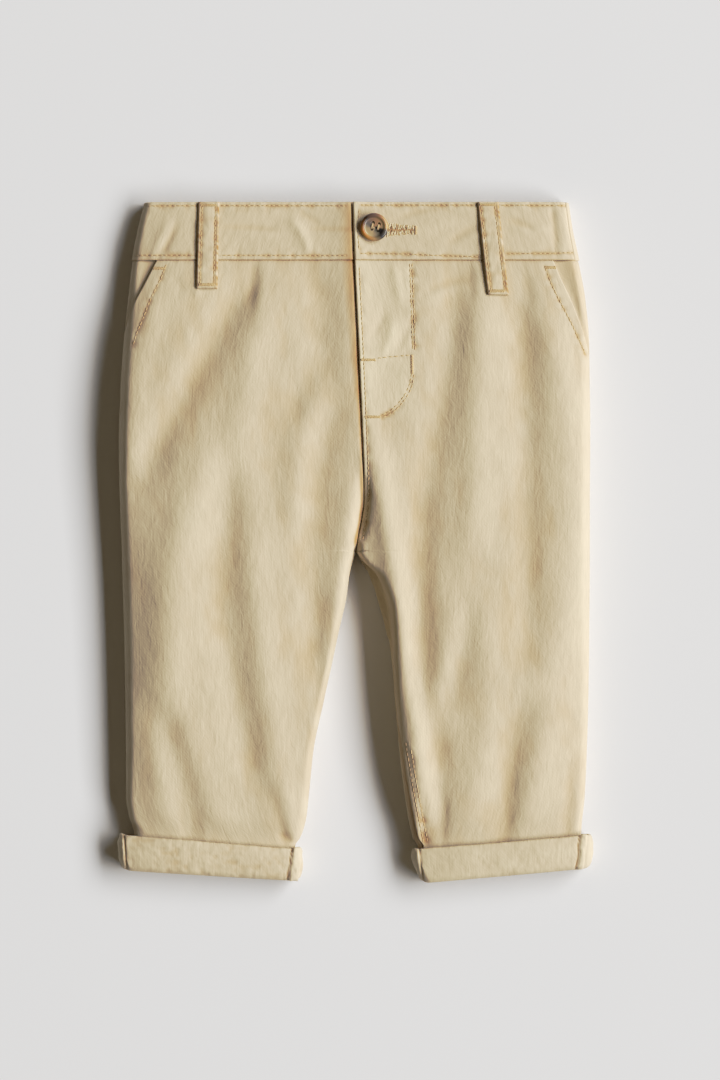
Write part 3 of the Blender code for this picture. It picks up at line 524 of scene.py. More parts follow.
CREASES = columns(FOLD_NAMES, (
    (-98, 141.5, -93.5, 134, 0.4, 2.4, -0.35),       # below the right waist seam
    (-87.5, 136, -84.5, 131.5, 0.3, 2, 0.4), (-54, 150, -57.5, 128.5, 0.6, 3, -0.6),
    (-49.5, 147, -52, 124, 0.4, 3.4, 0.45), (-25, 120, -12, 80, 1.5, 5, -0.35),
    (-33, 92, -31, 62, -1, 5, -0.4),
    (36, 132, 57, 140, 0.8, 2.4, -0.5),              # below the left waist seam
    (34, 128, 54, 136.5, 0.8, 2.8, 0.4), (60.5, 149.5, 61.5, 130, 0.4, 2.6, -0.5),
    (92, 142, 93, 128, -0.5, 3.4, -0.4),
    (20.8, 117, 13.6, 98, 0.6, 3, 0.7),              # on the fly
    (16, 123, 9, 110, 0.4, 2.6, -0.6), (21, 147, 24, 128, -0.6, 3, 0.6),
    (30.5, 120, 22.5, 104, 0.5, 2.4, -0.5),
    (-122.5, -152, -116, -158, 0.5, 2.2, -0.8),      # pinched by the cuffs
    (-40.5, -158, -34, -163.5, 0.4, 2.2, -0.8), (-48, -132, -38.5, -163, 1, 3.6, -0.6),
    (-37, -132, -34.5, -160, 0.5, 3.4, 0.5), (36, -136, 37.5, -163, -0.3, 2.6, -0.8),
    (47, -138, 46.5, -164, 0.3, 3, -0.6), (84, -112, 80, -163, 0.8, 4, -0.5),
    (115, -122, 112.5, -162, 0.4, 3.6, -0.5)))
FOLD_END = 0.3             # share of a fold's length over which each end fades
CREASE_END = 0.6


def folds(x, y, table, fade=FOLD_END):
    """Height of the folds: each is a bell across a bowed line, faded at the line's ends."""
    total = np.zeros(np.broadcast(x, y).shape)
    for x0, y0, x1, y1, bow, spread, height in np.stack(list(table.values())).T:
        length = np.hypot(x1 - x0, y1 - y0)
        ax, ay = (x1 - x0) / length, (y1 - y0) / length
        along = ((x - x0) * ax + (y - y0) * ay) / length
        aside = (y - y0) * ax - (x - x0) * ay - 4 * bow * along * (1 - along)
        ends = ease((along + fade / 2) / fade) * ease((1 - along + fade / 2) / fade)
        total += height * bell(aside, spread) * ends
    return total


print("deepest fold:", FOLDS["height"].min(), "mm, highest:", FOLDS["height"].max(), "mm")

# %% Rows and heights
def lap_size(name, down):
    """How the right side runs under the left at the fly."""
    return BAND_LAP[name] if down < BAND_DEPTH else float(smooth(LAP, name, down))


def row_ends(side, down):
    """Ends of a row from above: the outer point, the inner point and the width."""
    outer, tilt = (smooth(OUTER[side], name, down) for name in ("outer", "tilt"))
    inner = smooth(CENTRE if down < CROTCH_DOWN else INNER[side], "inner", down)
    inner += SEAM_GAP / 2 * SIGN[side]
    start = np.array((outer, WAIST_Y - down + tilt))
    end = np.array((inner, WAIST_Y - down - tilt))
    return start, end, np.linalg.norm(end - start)


def on_row(start, end, across):
    """Plan places, x then y, at distances along a row from its outer end."""
    return start[:, None] + np.outer((end - start) / np.linalg.norm(end - start), across)


def edge_shape(side, down, across):
    """The row's widest point's height, its foot and edge, and the distance from its inner end."""
    width = row_ends(side, down)[2]
    foot = max(float(smooth(SEAMS[side], "foot", down)), 0.0)
    flat = ease(foot / FOOT_GROWTH) * ease(across / width)
    widest = smooth(SECTION, "widest", down)
    return (widest + (FOOT_EDGE - widest) * flat, foot, flat,
            np.hypot(width - across, SADDLE * max(CROTCH_DOWN - down, 0)))


def climb(across, radius, share, shift=0.0):
    """Share of its height at a distance from an edge: a round edge's share, then a crown's."""
    crown = 1 - (1 - np.clip((across + shift) / CROWN, 0, 1)) ** 2
    return share * quarter(across / radius) + (1 - share) * crown


def front_height(side, down, across):
    """Height of the front: round edges, a low crown, and folds between them."""
    start, end, width = row_ends(side, down)
    widest, foot, flat, to_inner = edge_shape(side, down, across)
    height = smooth(SECTION, "height", down)
    from_foot = to_inner - foot
    ledge = FOOT_EDGE * flat * quarter(to_inner / FOOT_EDGE)
    # the crown follows the inner edge averaged over some rows, so it turns softly at the crotch
    shift = np.mean([row_ends(side, down + k)[2] for k in CROWN_ROWS]) - width
    shift = shift * ease(1 - np.abs(down - CROTCH_DOWN) / 40)
    rises = 1.0
    for edge, distance, extra in (("outer", across, 0.0), ("inner", from_foot, shift)):
        rises = rises * climb(distance, smooth(SECTION, f"{edge}_round", down),
                              smooth(SECTION, f"{edge}_share", down), extra)
    z = widest + ledge + (height - widest - ledge) * rises
    relief = folds(*on_row(start, end, across), FOLDS)
    relief = relief * ease(across / FOLD_START) * ease(from_foot / FOLD_START)
    fade = 1 - ease((down - FOLD_FADE[0]) / (FOLD_FADE[1] - FOLD_FADE[0]))
    z = z + np.minimum(relief, 0) + np.maximum(relief, 0) * fade
    first, last, appear, vanish, reach, depth = CREASE
    deep = depth * ease((down - first) / appear) * ease((last - down) / vanish)
    z = z - deep * bell(width - across, reach)
    swell, reach, last, slow = FLY_SWELL               # the layers under the fly lift it
    z = z + swell * ease((last - down) / slow) * bell(width - across, reach)
    if side == "right" and down < CROTCH_DOWN:
        lead = lap_size("lead", down)
        z = z - lap_size("dip", down) * ease((across - width + lead) / lead)
        sink, reach, last, slow = LAP_SINK             # the lower side lies flat beside the lap
        z = z - sink * ease((last - down) / slow) * bell(np.maximum(width - across, 0), reach)
    return z


def under_height(side, down, across):
    """Height of the underside: flat, and rounded up to the widest point at its edges."""
    widest, _, flat, to_inner = edge_shape(side, down, across)
    first, last, lift = HEM_LIFT
    floor = lift * ease((down - first) / (last - first))
    inner_round = UNDER_ROUND + (FOOT_EDGE - UNDER_ROUND) * flat
    return widest - (widest - floor) * quarter(across / UNDER_ROUND) * quarter(to_inner / inner_round)


print("front 100 mm down:", front_height("left", 100, np.array((5, 60))).round(1), "mm high")

# %% Rings
def ring(side, down):
    """Walk round a row's ring: distance from the outer edge, plan place and height.

    The distance is above zero on the front and below zero on the underside. It adds up the
    lengths of the short steps between samples. Past the inner edge, a leg's ring goes on round
    it, and a half of the seat goes on across the middle.
    """
    width = row_ends(side, down)[2]
    spread = (1 - np.cos(np.linspace(0, np.pi, RING_SAMPLES))) / 2
    lap = lap_size("underlap", down) if side == "right" and down < CROTCH_DOWN else 0.0
    if down < CROTCH_DOWN:
        across = spread * width
        under = np.append(across, width + across[1:][across[1:] < CENTRE_SPARE])
        front = np.append(under, width + np.linspace(CENTRE_SPARE, lap + CENTRE_SPARE + 1, 12))
        front_z, under_z = front_height(side, down, front), under_height(side, down, under)
    else:
        front = under = np.append(spread * width, width * (1 - spread[1:RING_SAMPLES // 3]))
        over, below = front_height(side, down, front), under_height(side, down, front)
        front_z = np.append(over[:RING_SAMPLES], below[RING_SAMPLES:])
        under_z = np.append(below[:RING_SAMPLES], over[RING_SAMPLES:])
    front_s, under_s = (travelled(np.diff(places), np.diff(z))
                        for places, z in ((front, front_z), (under, under_z)))
    inner = RING_SAMPLES - 1

    def front_at(at):
        return np.interp(at, front[:RING_SAMPLES], front_s[:RING_SAMPLES])

    return {
        "s": np.append(-under_s[:0:-1], front_s), "across": np.append(under[:0:-1], front),
        "z": np.append(under_z[:0:-1], front_z), "front": front_s[inner],
        "under": under_s[inner], "front_at": front_at,
        "outer_seam": front_at(smooth(SEAMS[side], "outer_seam", down)),
        "inner_seam": front_at(width - smooth(SEAMS[side], "inner_seam", down)),
        "lap": np.interp(width + lap, front[inner:], front_s[inner:]) if lap else front_s[inner],
    }


def skin(side, downs, distances, turned):
    """Points and normals of the outer face: a row for each distance down, at ring distances."""
    rows = []
    for down, s in zip(downs, distances):
        walk = ring(side, down)
        x, y = on_row(*row_ends(side, down)[:2], np.interp(s, walk["s"], walk["across"]))
        rows.append(np.stack((x, y, np.interp(s, walk["s"], walk["z"])), axis=-1))
    return np.array(rows), normals(np.array(rows), turned)


for down in (60, 200, 320):
    walk = ring("left", down)
    print(f"left ring {down} mm down: front {walk['front']:.0f} mm, back {walk['under']:.0f} mm")

# %% [markdown]
# ## Sewing lines
# The stitching decides how chinos look: every topstitched line pulls the cloth into a shallow
# groove, and washing shrinks the thread a little, which puckers the cloth across the line. So
# the lines are laid out first, as seen from above, and both the cloth and the thread use them.
# A short row of points is enough for each line: a Catmull-Rom curve runs through them.

# %% Lines on the plan
def curve_through(points, step=1.0):
    """Catmull-Rom curve through points, resampled at even steps along its length."""
    p = np.asarray(points, float)
    p = np.concatenate((2 * p[:1] - p[1:2], p, 2 * p[-1:] - p[-2:-1]))
    t = np.linspace(0, 1, 12, endpoint=False)[None, :, None]
    a, b, c, d = (p[k:len(p) - 3 + k, None] for k in range(4))
    fine = (2 * b + (c - a) * t + (2 * a - 5 * b + 4 * c - d) * t ** 2
            + (3 * b - a - 3 * c + d) * t ** 3) / 2
    fine = np.concatenate((fine.reshape(-1, 2), p[-2:-1]))
    reach = travelled(*np.diff(fine, axis=0).T)
    even = np.linspace(0, reach[-1], max(int(reach[-1] / step), 1) + 1)
    return np.stack([np.interp(even, reach, fine[:, k]) for k in (0, 1)], axis=-1)


def near_line(x, y, line):
    """Distance from points to a line, and how far along the line their nearest point is."""
    best, along, done = np.full(x.shape, 1e9), np.zeros(x.shape), 0.0
    for (x0, y0), (x1, y1) in zip(line[:-1], line[1:]):
        length = np.hypot(x1 - x0, y1 - y0)
        t = np.clip(((x - x0) * (x1 - x0) + (y - y0) * (y1 - y0)) / length ** 2, 0, 1)
        far = np.hypot(x - x0 - t * (x1 - x0), y - y0 - t * (y1 - y0))
        along = np.where(far < best, done + t * length, along)
        best = np.minimum(best, far)
        done += length
    return best, along


FLY_INSET = 2.6
fly_downs = np.linspace(36, 183, 12)
SEWN = {
    "waistband_front_right": [
        [(-112.6, 179.9), (-60, 180.1), (-5.6, 179.8)],
        [(-119.4, 153.3), (-60, 153.1), (-5.2, 152.9)]],
    "waistband_front_left": [
        [(2.2, 180.3), (60, 180.3), (113, 180.2)],
        [(2.2, 154), (28, 153.7), (47, 152.9), (66, 152.4)],
        [(81, 153.9), (100, 154.2), (118.6, 154.8)],
        [(1.6, 178), (1.1, 165.8), (1.8, 156.2)]],
    "front_left": [
        np.stack((smooth(CENTRE, "inner", fly_downs) + FLY_INSET, WAIST_Y - fly_downs), axis=-1),
        [(28.9, 149), (29.2, 140), (29.9, 120), (30.5, 102)],
        [(30.2, 149), (30.5, 140), (31.2, 120), (31.7, 102)],
        [(11, 97.6), (20, 98.6), (29.4, 99.4)],
        [(30, 90), (28.4, 82.5), (24.4, 75.5), (19, 70), (13.6, 67)],
        [(31.2, 89.4), (29.6, 81.6), (25.4, 74.4), (19.8, 68.8), (14, 65.8)],
        [(101.5, 147), (105, 137.6), (109.6, 128), (115.9, 115.9), (123.2, 99.8)],
        [(26.6, -108), (29, -123), (31.9, -140), (36.4, -162.5)],        # over the inseam
        [(29.4, -112), (31.6, -125), (34.4, -141), (38.4, -162)]],
    "front_right": [
        [(-101.9, 148.2), (-105.2, 139.8), (-110.5, 129.1), (-114.2, 119.4), (-117.4, 111.9),
         (-119.6, 104.9)]],
}
LINES = {piece: [curve_through(points) for points in rows] for piece, rows in SEWN.items()}
print("topstitching:", sum(len(line) - 1 for rows in LINES.values() for line in rows), "mm")

# %% Grooves and puckers
GROOVE = (0.3, 0.7)        # depth and half width of the groove under a line of stitches
PUCKER = (0.26, 2.8, 2.7)  # height, reach to the sides and length of the puckers across it
RIPPLE = (0.15, 8.0, 24.0)     # height, width and length of the unevenness of the whole cloth


def sewn_relief(x, y, lines, seed):
    """Lift and tone by the lines: a groove with a bell's section, and random waves across it."""
    lift, tint = np.zeros(x.shape), np.zeros(x.shape)
    for k, line in enumerate(lines):
        low, high = line.min(axis=0) - 9, line.max(axis=0) + 9
        close = (x > low[0]) & (x < high[0]) & (y > low[1]) & (y < high[1])
        if close.any():
            away, along = near_line(x[close], y[close], line)
            wave = noise(along / PUCKER[2] + 17.3 * k, away / 4, seed) * bell(away, PUCKER[1])
            lift[close] += PUCKER[0] * wave - GROOVE[0] * bell(away, GROOVE[1])
            # paler on raised puckers, as worn; darker in the pucker dips and the groove under the
            # stitches, which is painted shade
            tint[close] += 0.35 * wave - 0.4 * bell(away, GROOVE[1])
    return lift, tint


def cloth_relief(face, lines, seed):
    """Lift and tone of a panel: the small creases, a random ripple and the sewing's pull."""
    x, y = face[..., 0], face[..., 1]
    creases = folds(x, y, CREASES, CREASE_END)
    ripple = noise(x / RIPPLE[1], y / RIPPLE[2] + x / 60, seed) * 0.55
    ripple = ripple + noise(x / RIPPLE[1] * 2.3, y / RIPPLE[2] * 3 + x / 25, seed + 1) * 0.3
    lift, tint = sewn_relief(x, y, lines, seed + 2)
    # raised creases, ripples and fold crests are paler, as worn; their troughs are darker, which is
    # painted shade
    tint = tint + 0.3 * creases + 0.25 * ripple + 0.06 * folds(x, y, FOLDS)
    return creases + RIPPLE[0] * ripple + lift, tint


print("groove", GROOVE[0], "mm deep, puckers", PUCKER[0], "mm high")

# %% [markdown]
# ## Panels
# A panel is a stretch of the rings from one seam to the next. In a real seam the edges turn
# inwards and one runs on under the other, so here the last millimetre of each edge rolls down,
# and a hidden allowance goes on below the neighbour. Columns and rows lie closer together at the
# edges, where the cloth bends most.

# %% Rows and columns
EDGE_STEPS = np.array((0, 0.25, 0.55, 0.95, 1.5, 2.3, 3.4, 4.8))
TUCK = 5.0                 # allowance under the waistband
CLOTH = 0.9                # thickness of one layer as drawn
SEAM_ROLL = 0.7


def fill(first, last, count, ends=EDGE_STEPS):
    """Places from first to last: even ones, and closer ones at both ends."""
    middle = np.linspace(first + ends[-1], last - ends[-1], count + 2, axis=-1)[..., 1:-1]
    return np.concatenate((np.add.outer(first, ends), middle,
                           np.subtract.outer(last, ends)[..., ::-1]), axis=-1)


def spaced(first, last, step, ends=EDGE_STEPS):
    """Places from first to last at an even step, closer together near both."""
    return fill(first, last, max(int((last - first - 2 * ends[-1]) / step), 2) - 1, ends)


def front_ends(side, down):
    """Where a front starts, at the side seam or pocket mouth, and where it ends."""
    walk, pocket = ring(side, down), POCKET[side]
    mouth = smooth(pocket, "mouth", down) if down < pocket["down"][-1] else 0
    first = max(walk["outer_seam"], walk["front_at"](mouth)) + SEAM_GAP / 2
    return first, walk["inner_seam"] - SEAM_GAP / 2 if down > CROTCH_DOWN else walk["lap"]


def back_ends(side, down):
    """Where a back starts, at the side seam on the front, and where it ends."""
    walk = ring(side, down)
    last = -walk["under"]
    if down > CROTCH_DOWN:
        last -= walk["front"] - walk["inner_seam"] - SEAM_GAP / 2
    return walk["outer_seam"] - SEAM_GAP / 2, last


def under_band(down, depth):
    """How far a panel's end sinks as it runs on under the waistband."""
    return depth * ease((BAND_DEPTH + 0.5 - down) / 1.4)


def cloth_uv(side, downs, distances):
    """UV of a panel: distances round the ring towards +X, and down, in units of UV_UNIT."""
    down = np.broadcast_to(downs[:, None], distances.shape)
    return np.stack((distances * -SIGN[side], -down), axis=-1) / UV_UNIT


def wall_piece(node, outer, inner, uv, tint, along, closed=False):
    """Join a face and its lining side into one closed sheet that stands for a solid.

    The places along it are not used.
    """
    made = make_piece(f"{node}_cloth", np.stack((outer, inner)),
                      wall_quads(*outer.shape[:2], closed), twill,
                      uv=np.tile(uv.reshape(-1, 2), (2, 1)),
                      tone=np.append(tint.ravel(), np.zeros(tint.size)))
    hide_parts(node)
    return made


def ring_piece(name, side, downs, distances, outer, inner, tint):
    """A wall piece whose rows are distances round the rings of one side."""
    return wall_piece(f"{name}_{side}", outer, inner, cloth_uv(side, downs, distances), tint,
                      downs)


print("columns near an edge:", [round(float(v), 2) for v in spaced(0, 20, 2)[:8]])

# %% Fronts
FRONT_STEP = 1.35
FRONT_SINK, BACK_SINK = 1.7, 1.9       # how far panels lie below the waistband
LEAST_THICK = 0.35         # of cloth at a rolled edge
FLY_ROLL = 0.8
FLY_LAYERS = 1.35          # the left front is doubled by its facing at the fly
FLY_WIDE = 34.0            # how far the facing reaches from the edge
LAP_SHADE = 128.0          # distance down to which the shade beside the lap is wide
FLY_END = 122.0            # distance down to which the facing keeps the fly pale and flat


def painted_lap_shadow(downs, from_end):
    """Painted shadow beside the lap: the cloth under the left front's edge is darkened where the lap's
    shade falls.
    """
    lap = np.array([lap_size("underlap", down) for down in downs])[:, None]
    reach = 1.6 + 7.4 * ease((LAP_SHADE - downs) / 90)[:, None]
    return 0.7 * ease(1 - (from_end - lap - 1.2) / reach) * ease((CROTCH_DOWN - downs) / 6)[:, None]


def front(side, seed):
    """A front panel: its rings' face, lifted by the relief and rolled down at its edges."""
    downs = np.concatenate((
        np.arange(BAND_DEPTH - TUCK, BAND_DEPTH - 0.1, 1.2), BAND_DEPTH + EDGE_STEPS,
        np.arange(BAND_DEPTH + 6, 44, 1), np.arange(44, 180, 1.5), np.arange(180, 198, 0.6),
        np.arange(198, 326, 1.5), np.arange(326, HEM_DOWN, 1)))
    ends = np.array([front_ends(side, max(down, BAND_DEPTH)) for down in downs]).T
    distances = fill(*ends, int(np.max(ends[1] - ends[0]) / FRONT_STEP) - 8)
    face, normal = skin(side, downs, distances, side == "left")
    lift, tint = cloth_relief(face, LINES[f"front_{side}"], seed)
    from_start, to_end = distances - ends[0][:, None], ends[1][:, None] - distances
    down = downs[:, None]
    fly = (side == "left") * ease((CROTCH_DOWN - down) / 6)
    drop = roll(from_start, SEAM_ROLL) + roll(to_end, SEAM_ROLL + (FLY_ROLL - SEAM_ROLL) * fly)
    tuck = under_band(down, FRONT_SINK) + 0.2 * bell(down - BAND_DEPTH, 1.6)
    thick = CLOTH + (FLY_LAYERS - CLOTH) * fly * ease((FLY_WIDE - to_end) / 4)
    thick = np.maximum(thick, drop + LEAST_THICK)
    outer = face + normal * (lift - drop - tuck)[..., None]
    inner = face + normal * (0.6 * lift - thick - tuck)[..., None]
    doubled = fly * ease((FLY_WIDE - to_end) / 6) * ease((FLY_END - down) / 14)
    # darker just below the waistband seam: painted shade; the fly's folded edge is paler, as worn, and
    # the doubled fly a little paler
    tint = tint - 0.25 * bell(down - BAND_DEPTH, 1.2)
    tint = tint + 0.5 * bell(to_end - 0.9, 1.3) * fly + 0.25 * doubled
    if side == "right":
        # darkened beside the fly's lap: painted shadow of the left front's edge
        tint = tint - painted_lap_shadow(np.maximum(downs, BAND_DEPTH), to_end)
    return ring_piece("front", side, downs, distances, outer, inner, tint)


fronts = [front(side, seed) for side, seed in zip(SIDES, (11, 21))]

# %% Backs
BACK_STEP = 3.0
BACK_TUCK = 2.6            # allowance under the front at the side seams


def back(side, seed):
    """A back panel: flat below, and rolled under the front at the side seam and inseam."""
    downs = np.concatenate((
        np.arange(BAND_DEPTH - TUCK, BAND_DEPTH, 1.6), np.arange(BAND_DEPTH + 0.3, 186, 3),
        np.arange(186, 262, 1.5), np.arange(262, HEM_DOWN, 3), (HEM_DOWN,)))
    ends = np.array([back_ends(side, max(down, BAND_DEPTH)) for down in downs]).T
    distances = -fill(-ends[0] - BACK_TUCK, -ends[1] + BACK_TUCK * (downs > CROTCH_DOWN + 8),
                      int(np.max(ends[0] - ends[1]) / BACK_STEP))
    face, normal = skin(side, downs, distances, side == "right")
    first, last = ends[..., None]
    down = downs[:, None]
    past = np.maximum(distances - first, 0) + np.maximum(last - distances, 0) * (down > CROTCH_DOWN)
    drop = 1.5 * ease(past + 0.4)
    tuck = under_band(down, BACK_SINK)
    flat = ease((np.abs(face[..., 2]) - 0.3) / 2)
    lift, tint = cloth_relief(face, [], seed)
    outer = face + normal * (np.maximum(lift, -0.2) * flat - drop - tuck)[..., None]
    inner = face - normal * (CLOTH + drop + tuck)[..., None]
    # the back's edge beside the inseam, between the legs, is darkened: painted shade
    ledge = ease((down - CROTCH_DOWN) / 8) * ease((8 - np.abs(distances - last)) / 4)
    return ring_piece("back", side, downs, distances, outer, inner, (tint - 0.5 * ledge) * flat)


for side, seed in zip(SIDES, (31, 41)):
    back(side, seed)

# %% [markdown]
# ## Waistband
# The band is folded over at the waist and stitched along both edges. It is two layers and a
# stiffener, so it is thicker than the panels and stands a little above them, with a rounded top.
# The left end laps over the right and carries the buttonhole. Washing has creased it softly.

# %% Waistband
BAND_STEP = 0.95
BAND_ROWS = 0.75
BAND_RISE = 0.2            # above the panels
BAND_THICK = 2.1
BAND_ROLL = 0.6
BACK_COLUMNS = 44
HOLE_START, HOLE_END, HOLE_Y = 16.4, 31.4, 166.9     # the buttonhole, along the band
HOLE_TALL = 2.4            # half the height of its stitching, at the far end
BAND_CREASES = columns(FOLD_NAMES, (
    (-97, 169, -106, 152, 0.5, 1.8, -0.63), (-101, 172, -109, 155, 0.5, 2.4, 0.45),  # right end
    (-72, 168.6, -45, 167, 0.4, 1.6, -0.45), (-60, 164, -44, 163, 0.4, 2.2, 0.32),
    (-34, 172, -26, 156, 1, 3, 0.81),                # a soft puff
    (-24, 167.6, -3, 166.9, 0.2, 1.5, -0.54), (-30, 176, -20, 170, 0.3, 2.2, -0.36),
    (24, 174, 42, 178.5, 0.5, 2, -0.41),             # left, beyond the buttonhole
    (30, 165, 52, 172, 0.6, 3, 0.32), (50, 160, 64, 168.5, 0.5, 2.4, -0.45),
    (82, 172, 96, 166, 0.8, 2.2, -0.54), (86, 166.5, 103, 168, -0.5, 2.4, 0.45),
    (105, 181, 107.5, 152, 0.4, 1.6, -0.54),         # beside the left side seam
    (110, 180, 112, 152, 0.4, 2.4, 0.36)))


def band_front(side, seed):
    """Half of the band's front: the rings' face, raised, with rolled edges and soft creases."""
    downs = spaced(BAND_TOP, BAND_DEPTH - SEAM_GAP / 2, BAND_ROWS)
    walks = [ring(side, down) for down in downs]
    ends = np.array([(walk["outer_seam"] + SEAM_GAP / 2, walk["lap"]) for walk in walks]).T
    distances = fill(*ends, int(np.max(ends[1] - ends[0]) / BAND_STEP) - 8)
    face, normal = skin(side, downs, distances, side == "left")
    x, y = face[..., 0], face[..., 1]
    lift, tint = sewn_relief(x, y, LINES[f"waistband_front_{side}"], seed)
    creases = folds(x, y, BAND_CREASES, CREASE_END)
    lift = lift + creases + 0.14 * noise(x / 9, y / 5, seed + 5) + 0.05 * noise(x / 3, y / 3, seed + 6)
    from_start, to_end = distances - ends[0][:, None], ends[1][:, None] - distances
    from_top, to_seam = downs[:, None] - BAND_TOP, BAND_DEPTH - downs[:, None]
    drop = roll(from_start, SEAM_ROLL) + roll(to_end, 1.2)
    drop = drop + roll(from_top, 1.3) + roll(to_seam, BAND_ROLL)
    rise = BAND_RISE * ease(from_start / 3)
    outer = face + normal * (lift + rise - drop)[..., None]
    inner = face + normal * (0.4 * lift - np.maximum(BAND_THICK - rise, drop + 0.4))[..., None]
    # the folded top edge is paler, as worn; the band is darker along its seam with the panels, which is
    # painted shade
    tint = tint + 0.3 * creases + 0.35 * bell(from_top, 1.2) - 0.3 * bell(to_seam, 0.7)
    if side == "right":
        # darkened beside the lap: painted shadow of the band's left end
        tint = tint - painted_lap_shadow(downs, to_end)
    else:
        # the buttonhole's slit is darkened with painted shade; the lapping end's folded edge is paler,
        # as worn
        slit = ease((HOLE_TALL - np.abs(y - HOLE_Y)) / 0.8) * ease((x - HOLE_START) / 0.8)
        tint = tint + 0.5 * bell(to_end - 1, 1.6) - 0.8 * slit * ease((HOLE_END - x) / 0.8)
    return ring_piece("waistband_front", side, downs, distances, outer, inner, tint)


def band_back():
    """The band's back, under both halves, from one side seam to the other."""
    downs = spaced(BAND_TOP, BAND_DEPTH - SEAM_GAP / 2, 3)
    halves = []
    for side in SIDES:
        walks = [ring(side, down) for down in downs]
        first, last = np.array([(walk["outer_seam"] - SEAM_GAP / 2, -walk["under"])
                                for walk in walks]).T
        places = -fill(-first, -last, BACK_COLUMNS)
        face, normal = skin(side, downs, places, side == "right")
        drop = roll(first[:, None] - places, SEAM_ROLL)
        drop = drop + roll(downs[:, None] - BAND_TOP, 1) * ease(face[..., 2] / 0.4 + 1)
        outer = face - normal * np.minimum(drop, BAND_THICK - 0.4)[..., None]
        halves.append((outer, face - normal * BAND_THICK, cloth_uv(side, downs, places), places))
    outer, inner, uv, places = (np.concatenate((a, b[:, ::-1]), axis=1) for a, b in zip(*halves))
    # this sum misses the last columns at the middle, so the cut comes out 14 mm too narrow
    return wall_piece("waistband_back", outer, inner, uv, np.zeros(places.shape), downs)


bands = [band_front(side, seed) for side, seed in zip(SIDES, (51, 61))]
band_back()

# %% [markdown]
# ## Pocket facings
# A slanted pocket is cut into the front's side edge, and a facing fills it from below. Only a
# narrow wedge of the facing shows, next to the side seam.

# %% Pocket facings
FACING_REACH = 10.0
POCKET_END = {"right": 68.0, "left": 84.0}


def pocket_facing(side, seed):
    """The facing: level with the back at the side seam, and sunk below the front's edge."""
    downs = np.arange(BAND_DEPTH - 2, POCKET_END[side], 1.2)
    rows, sinks = [], []
    for down in downs:
        walk = ring(side, down)
        seam = walk["outer_seam"] + SEAM_GAP / 2
        mouth = smooth(POCKET[side], "mouth", max(down, BAND_DEPTH))
        edge = max(walk["front_at"](mouth), seam + 0.2)
        last = walk["front_at"](mouth + FACING_REACH)
        rows.append(np.append(np.linspace(seam, edge, 12), np.linspace(edge, last, 8)[1:]))
        sinks.append(1.7 * ease((rows[-1] - seam) / max(0.9 * (edge - seam), 0.5))
                     + roll(rows[-1] - seam, 0.5))
    distances = np.array(rows)
    face, normal = skin(side, downs, distances, side == "left")
    lift, tint = cloth_relief(face, [], seed)
    sinks = np.array(sinks) + under_band(downs[:, None], FRONT_SINK)
    outer = face + normal * (0.5 * lift - sinks)[..., None]
    # the facing is drawn a little darker: painted shade, as it lies sunk under the pocket's edge
    return ring_piece("pocket_facing", side, downs, distances, outer, outer - normal * 0.7,
                      tint - 0.1)


facings = [pocket_facing(side, seed) for side, seed in zip(SIDES, (71, 81))]

# %% [markdown]
# ## Cuffs
# The leg's end is turned up twice, so a cuff is a band round the leg with a fold at the bottom.
# Turning it up puts the inside of the leg outwards, and with it the seam allowances, which show
# as narrow raised strips at both ends of the cuff, each beside a slit darkened with painted shade.

# %% Cuffs
CUFFS = {
    "right": columns("along outer inner tilt height widest", (
        (345, -126.6, -30.2, 3.8, 17.2, 7.6), (349.5, -127.8, -28.9, 3.6, 17.8, 7.6),
        (354.5, -127.9, -28.4, 3.3, 17.6, 7.4), (359.5, -126.6, -29.2, 3, 16.8, 7.2),
        (363.4, -124.4, -30.8, 2.7, 15.4, 7))),
    "left": columns("along outer inner tilt height widest", (
        (345, 126.6, 30.2, 3.9, 17.2, 7.6), (349, 127.8, 29.6, 3.9, 17.8, 7.6),
        (354, 127.9, 31, 3.8, 17.6, 7.4), (359, 127.2, 33.4, 3.8, 16.8, 7.2),
        (363.4, 125.6, 35.8, 3.8, 15.4, 7))),
}
CUFF_ROUND, CUFF_SHARE = 4.6, 0.72
CUFF_SHRINK = 0.6          # how much smaller a round edge gets with each millimetre of depth
CUFF_ROLL, CUFF_WALL = 2.6, 1.6
CUFF_STEP = 0.8
CUFF_TONE = {"right": 0.02, "left": 0.2}
CUFF_CRUMPLE = {"right": 1.7, "left": 1.1}
CUFF_SEAMS = {             # x at the top and bottom, the strip's width towards the end, its rise
    "right": ((-124.6, -123.2, -3.6, 0.5), (-34.2, -36.6, 5, 1)),
    "left": ((33.8, 36, -2.4, 0.4), (120.4, 118.4, 3.4, 0.8)),
}
CUFF_TOP_COUNTS, CUFF_LOW_COUNTS = (22, 92), (10, 20)      # points on an edge and between edges
CUFF_TOP = 2 * CUFF_TOP_COUNTS[0] + CUFF_TOP_COUNTS[1]
CUFF_MIDDLE = 60


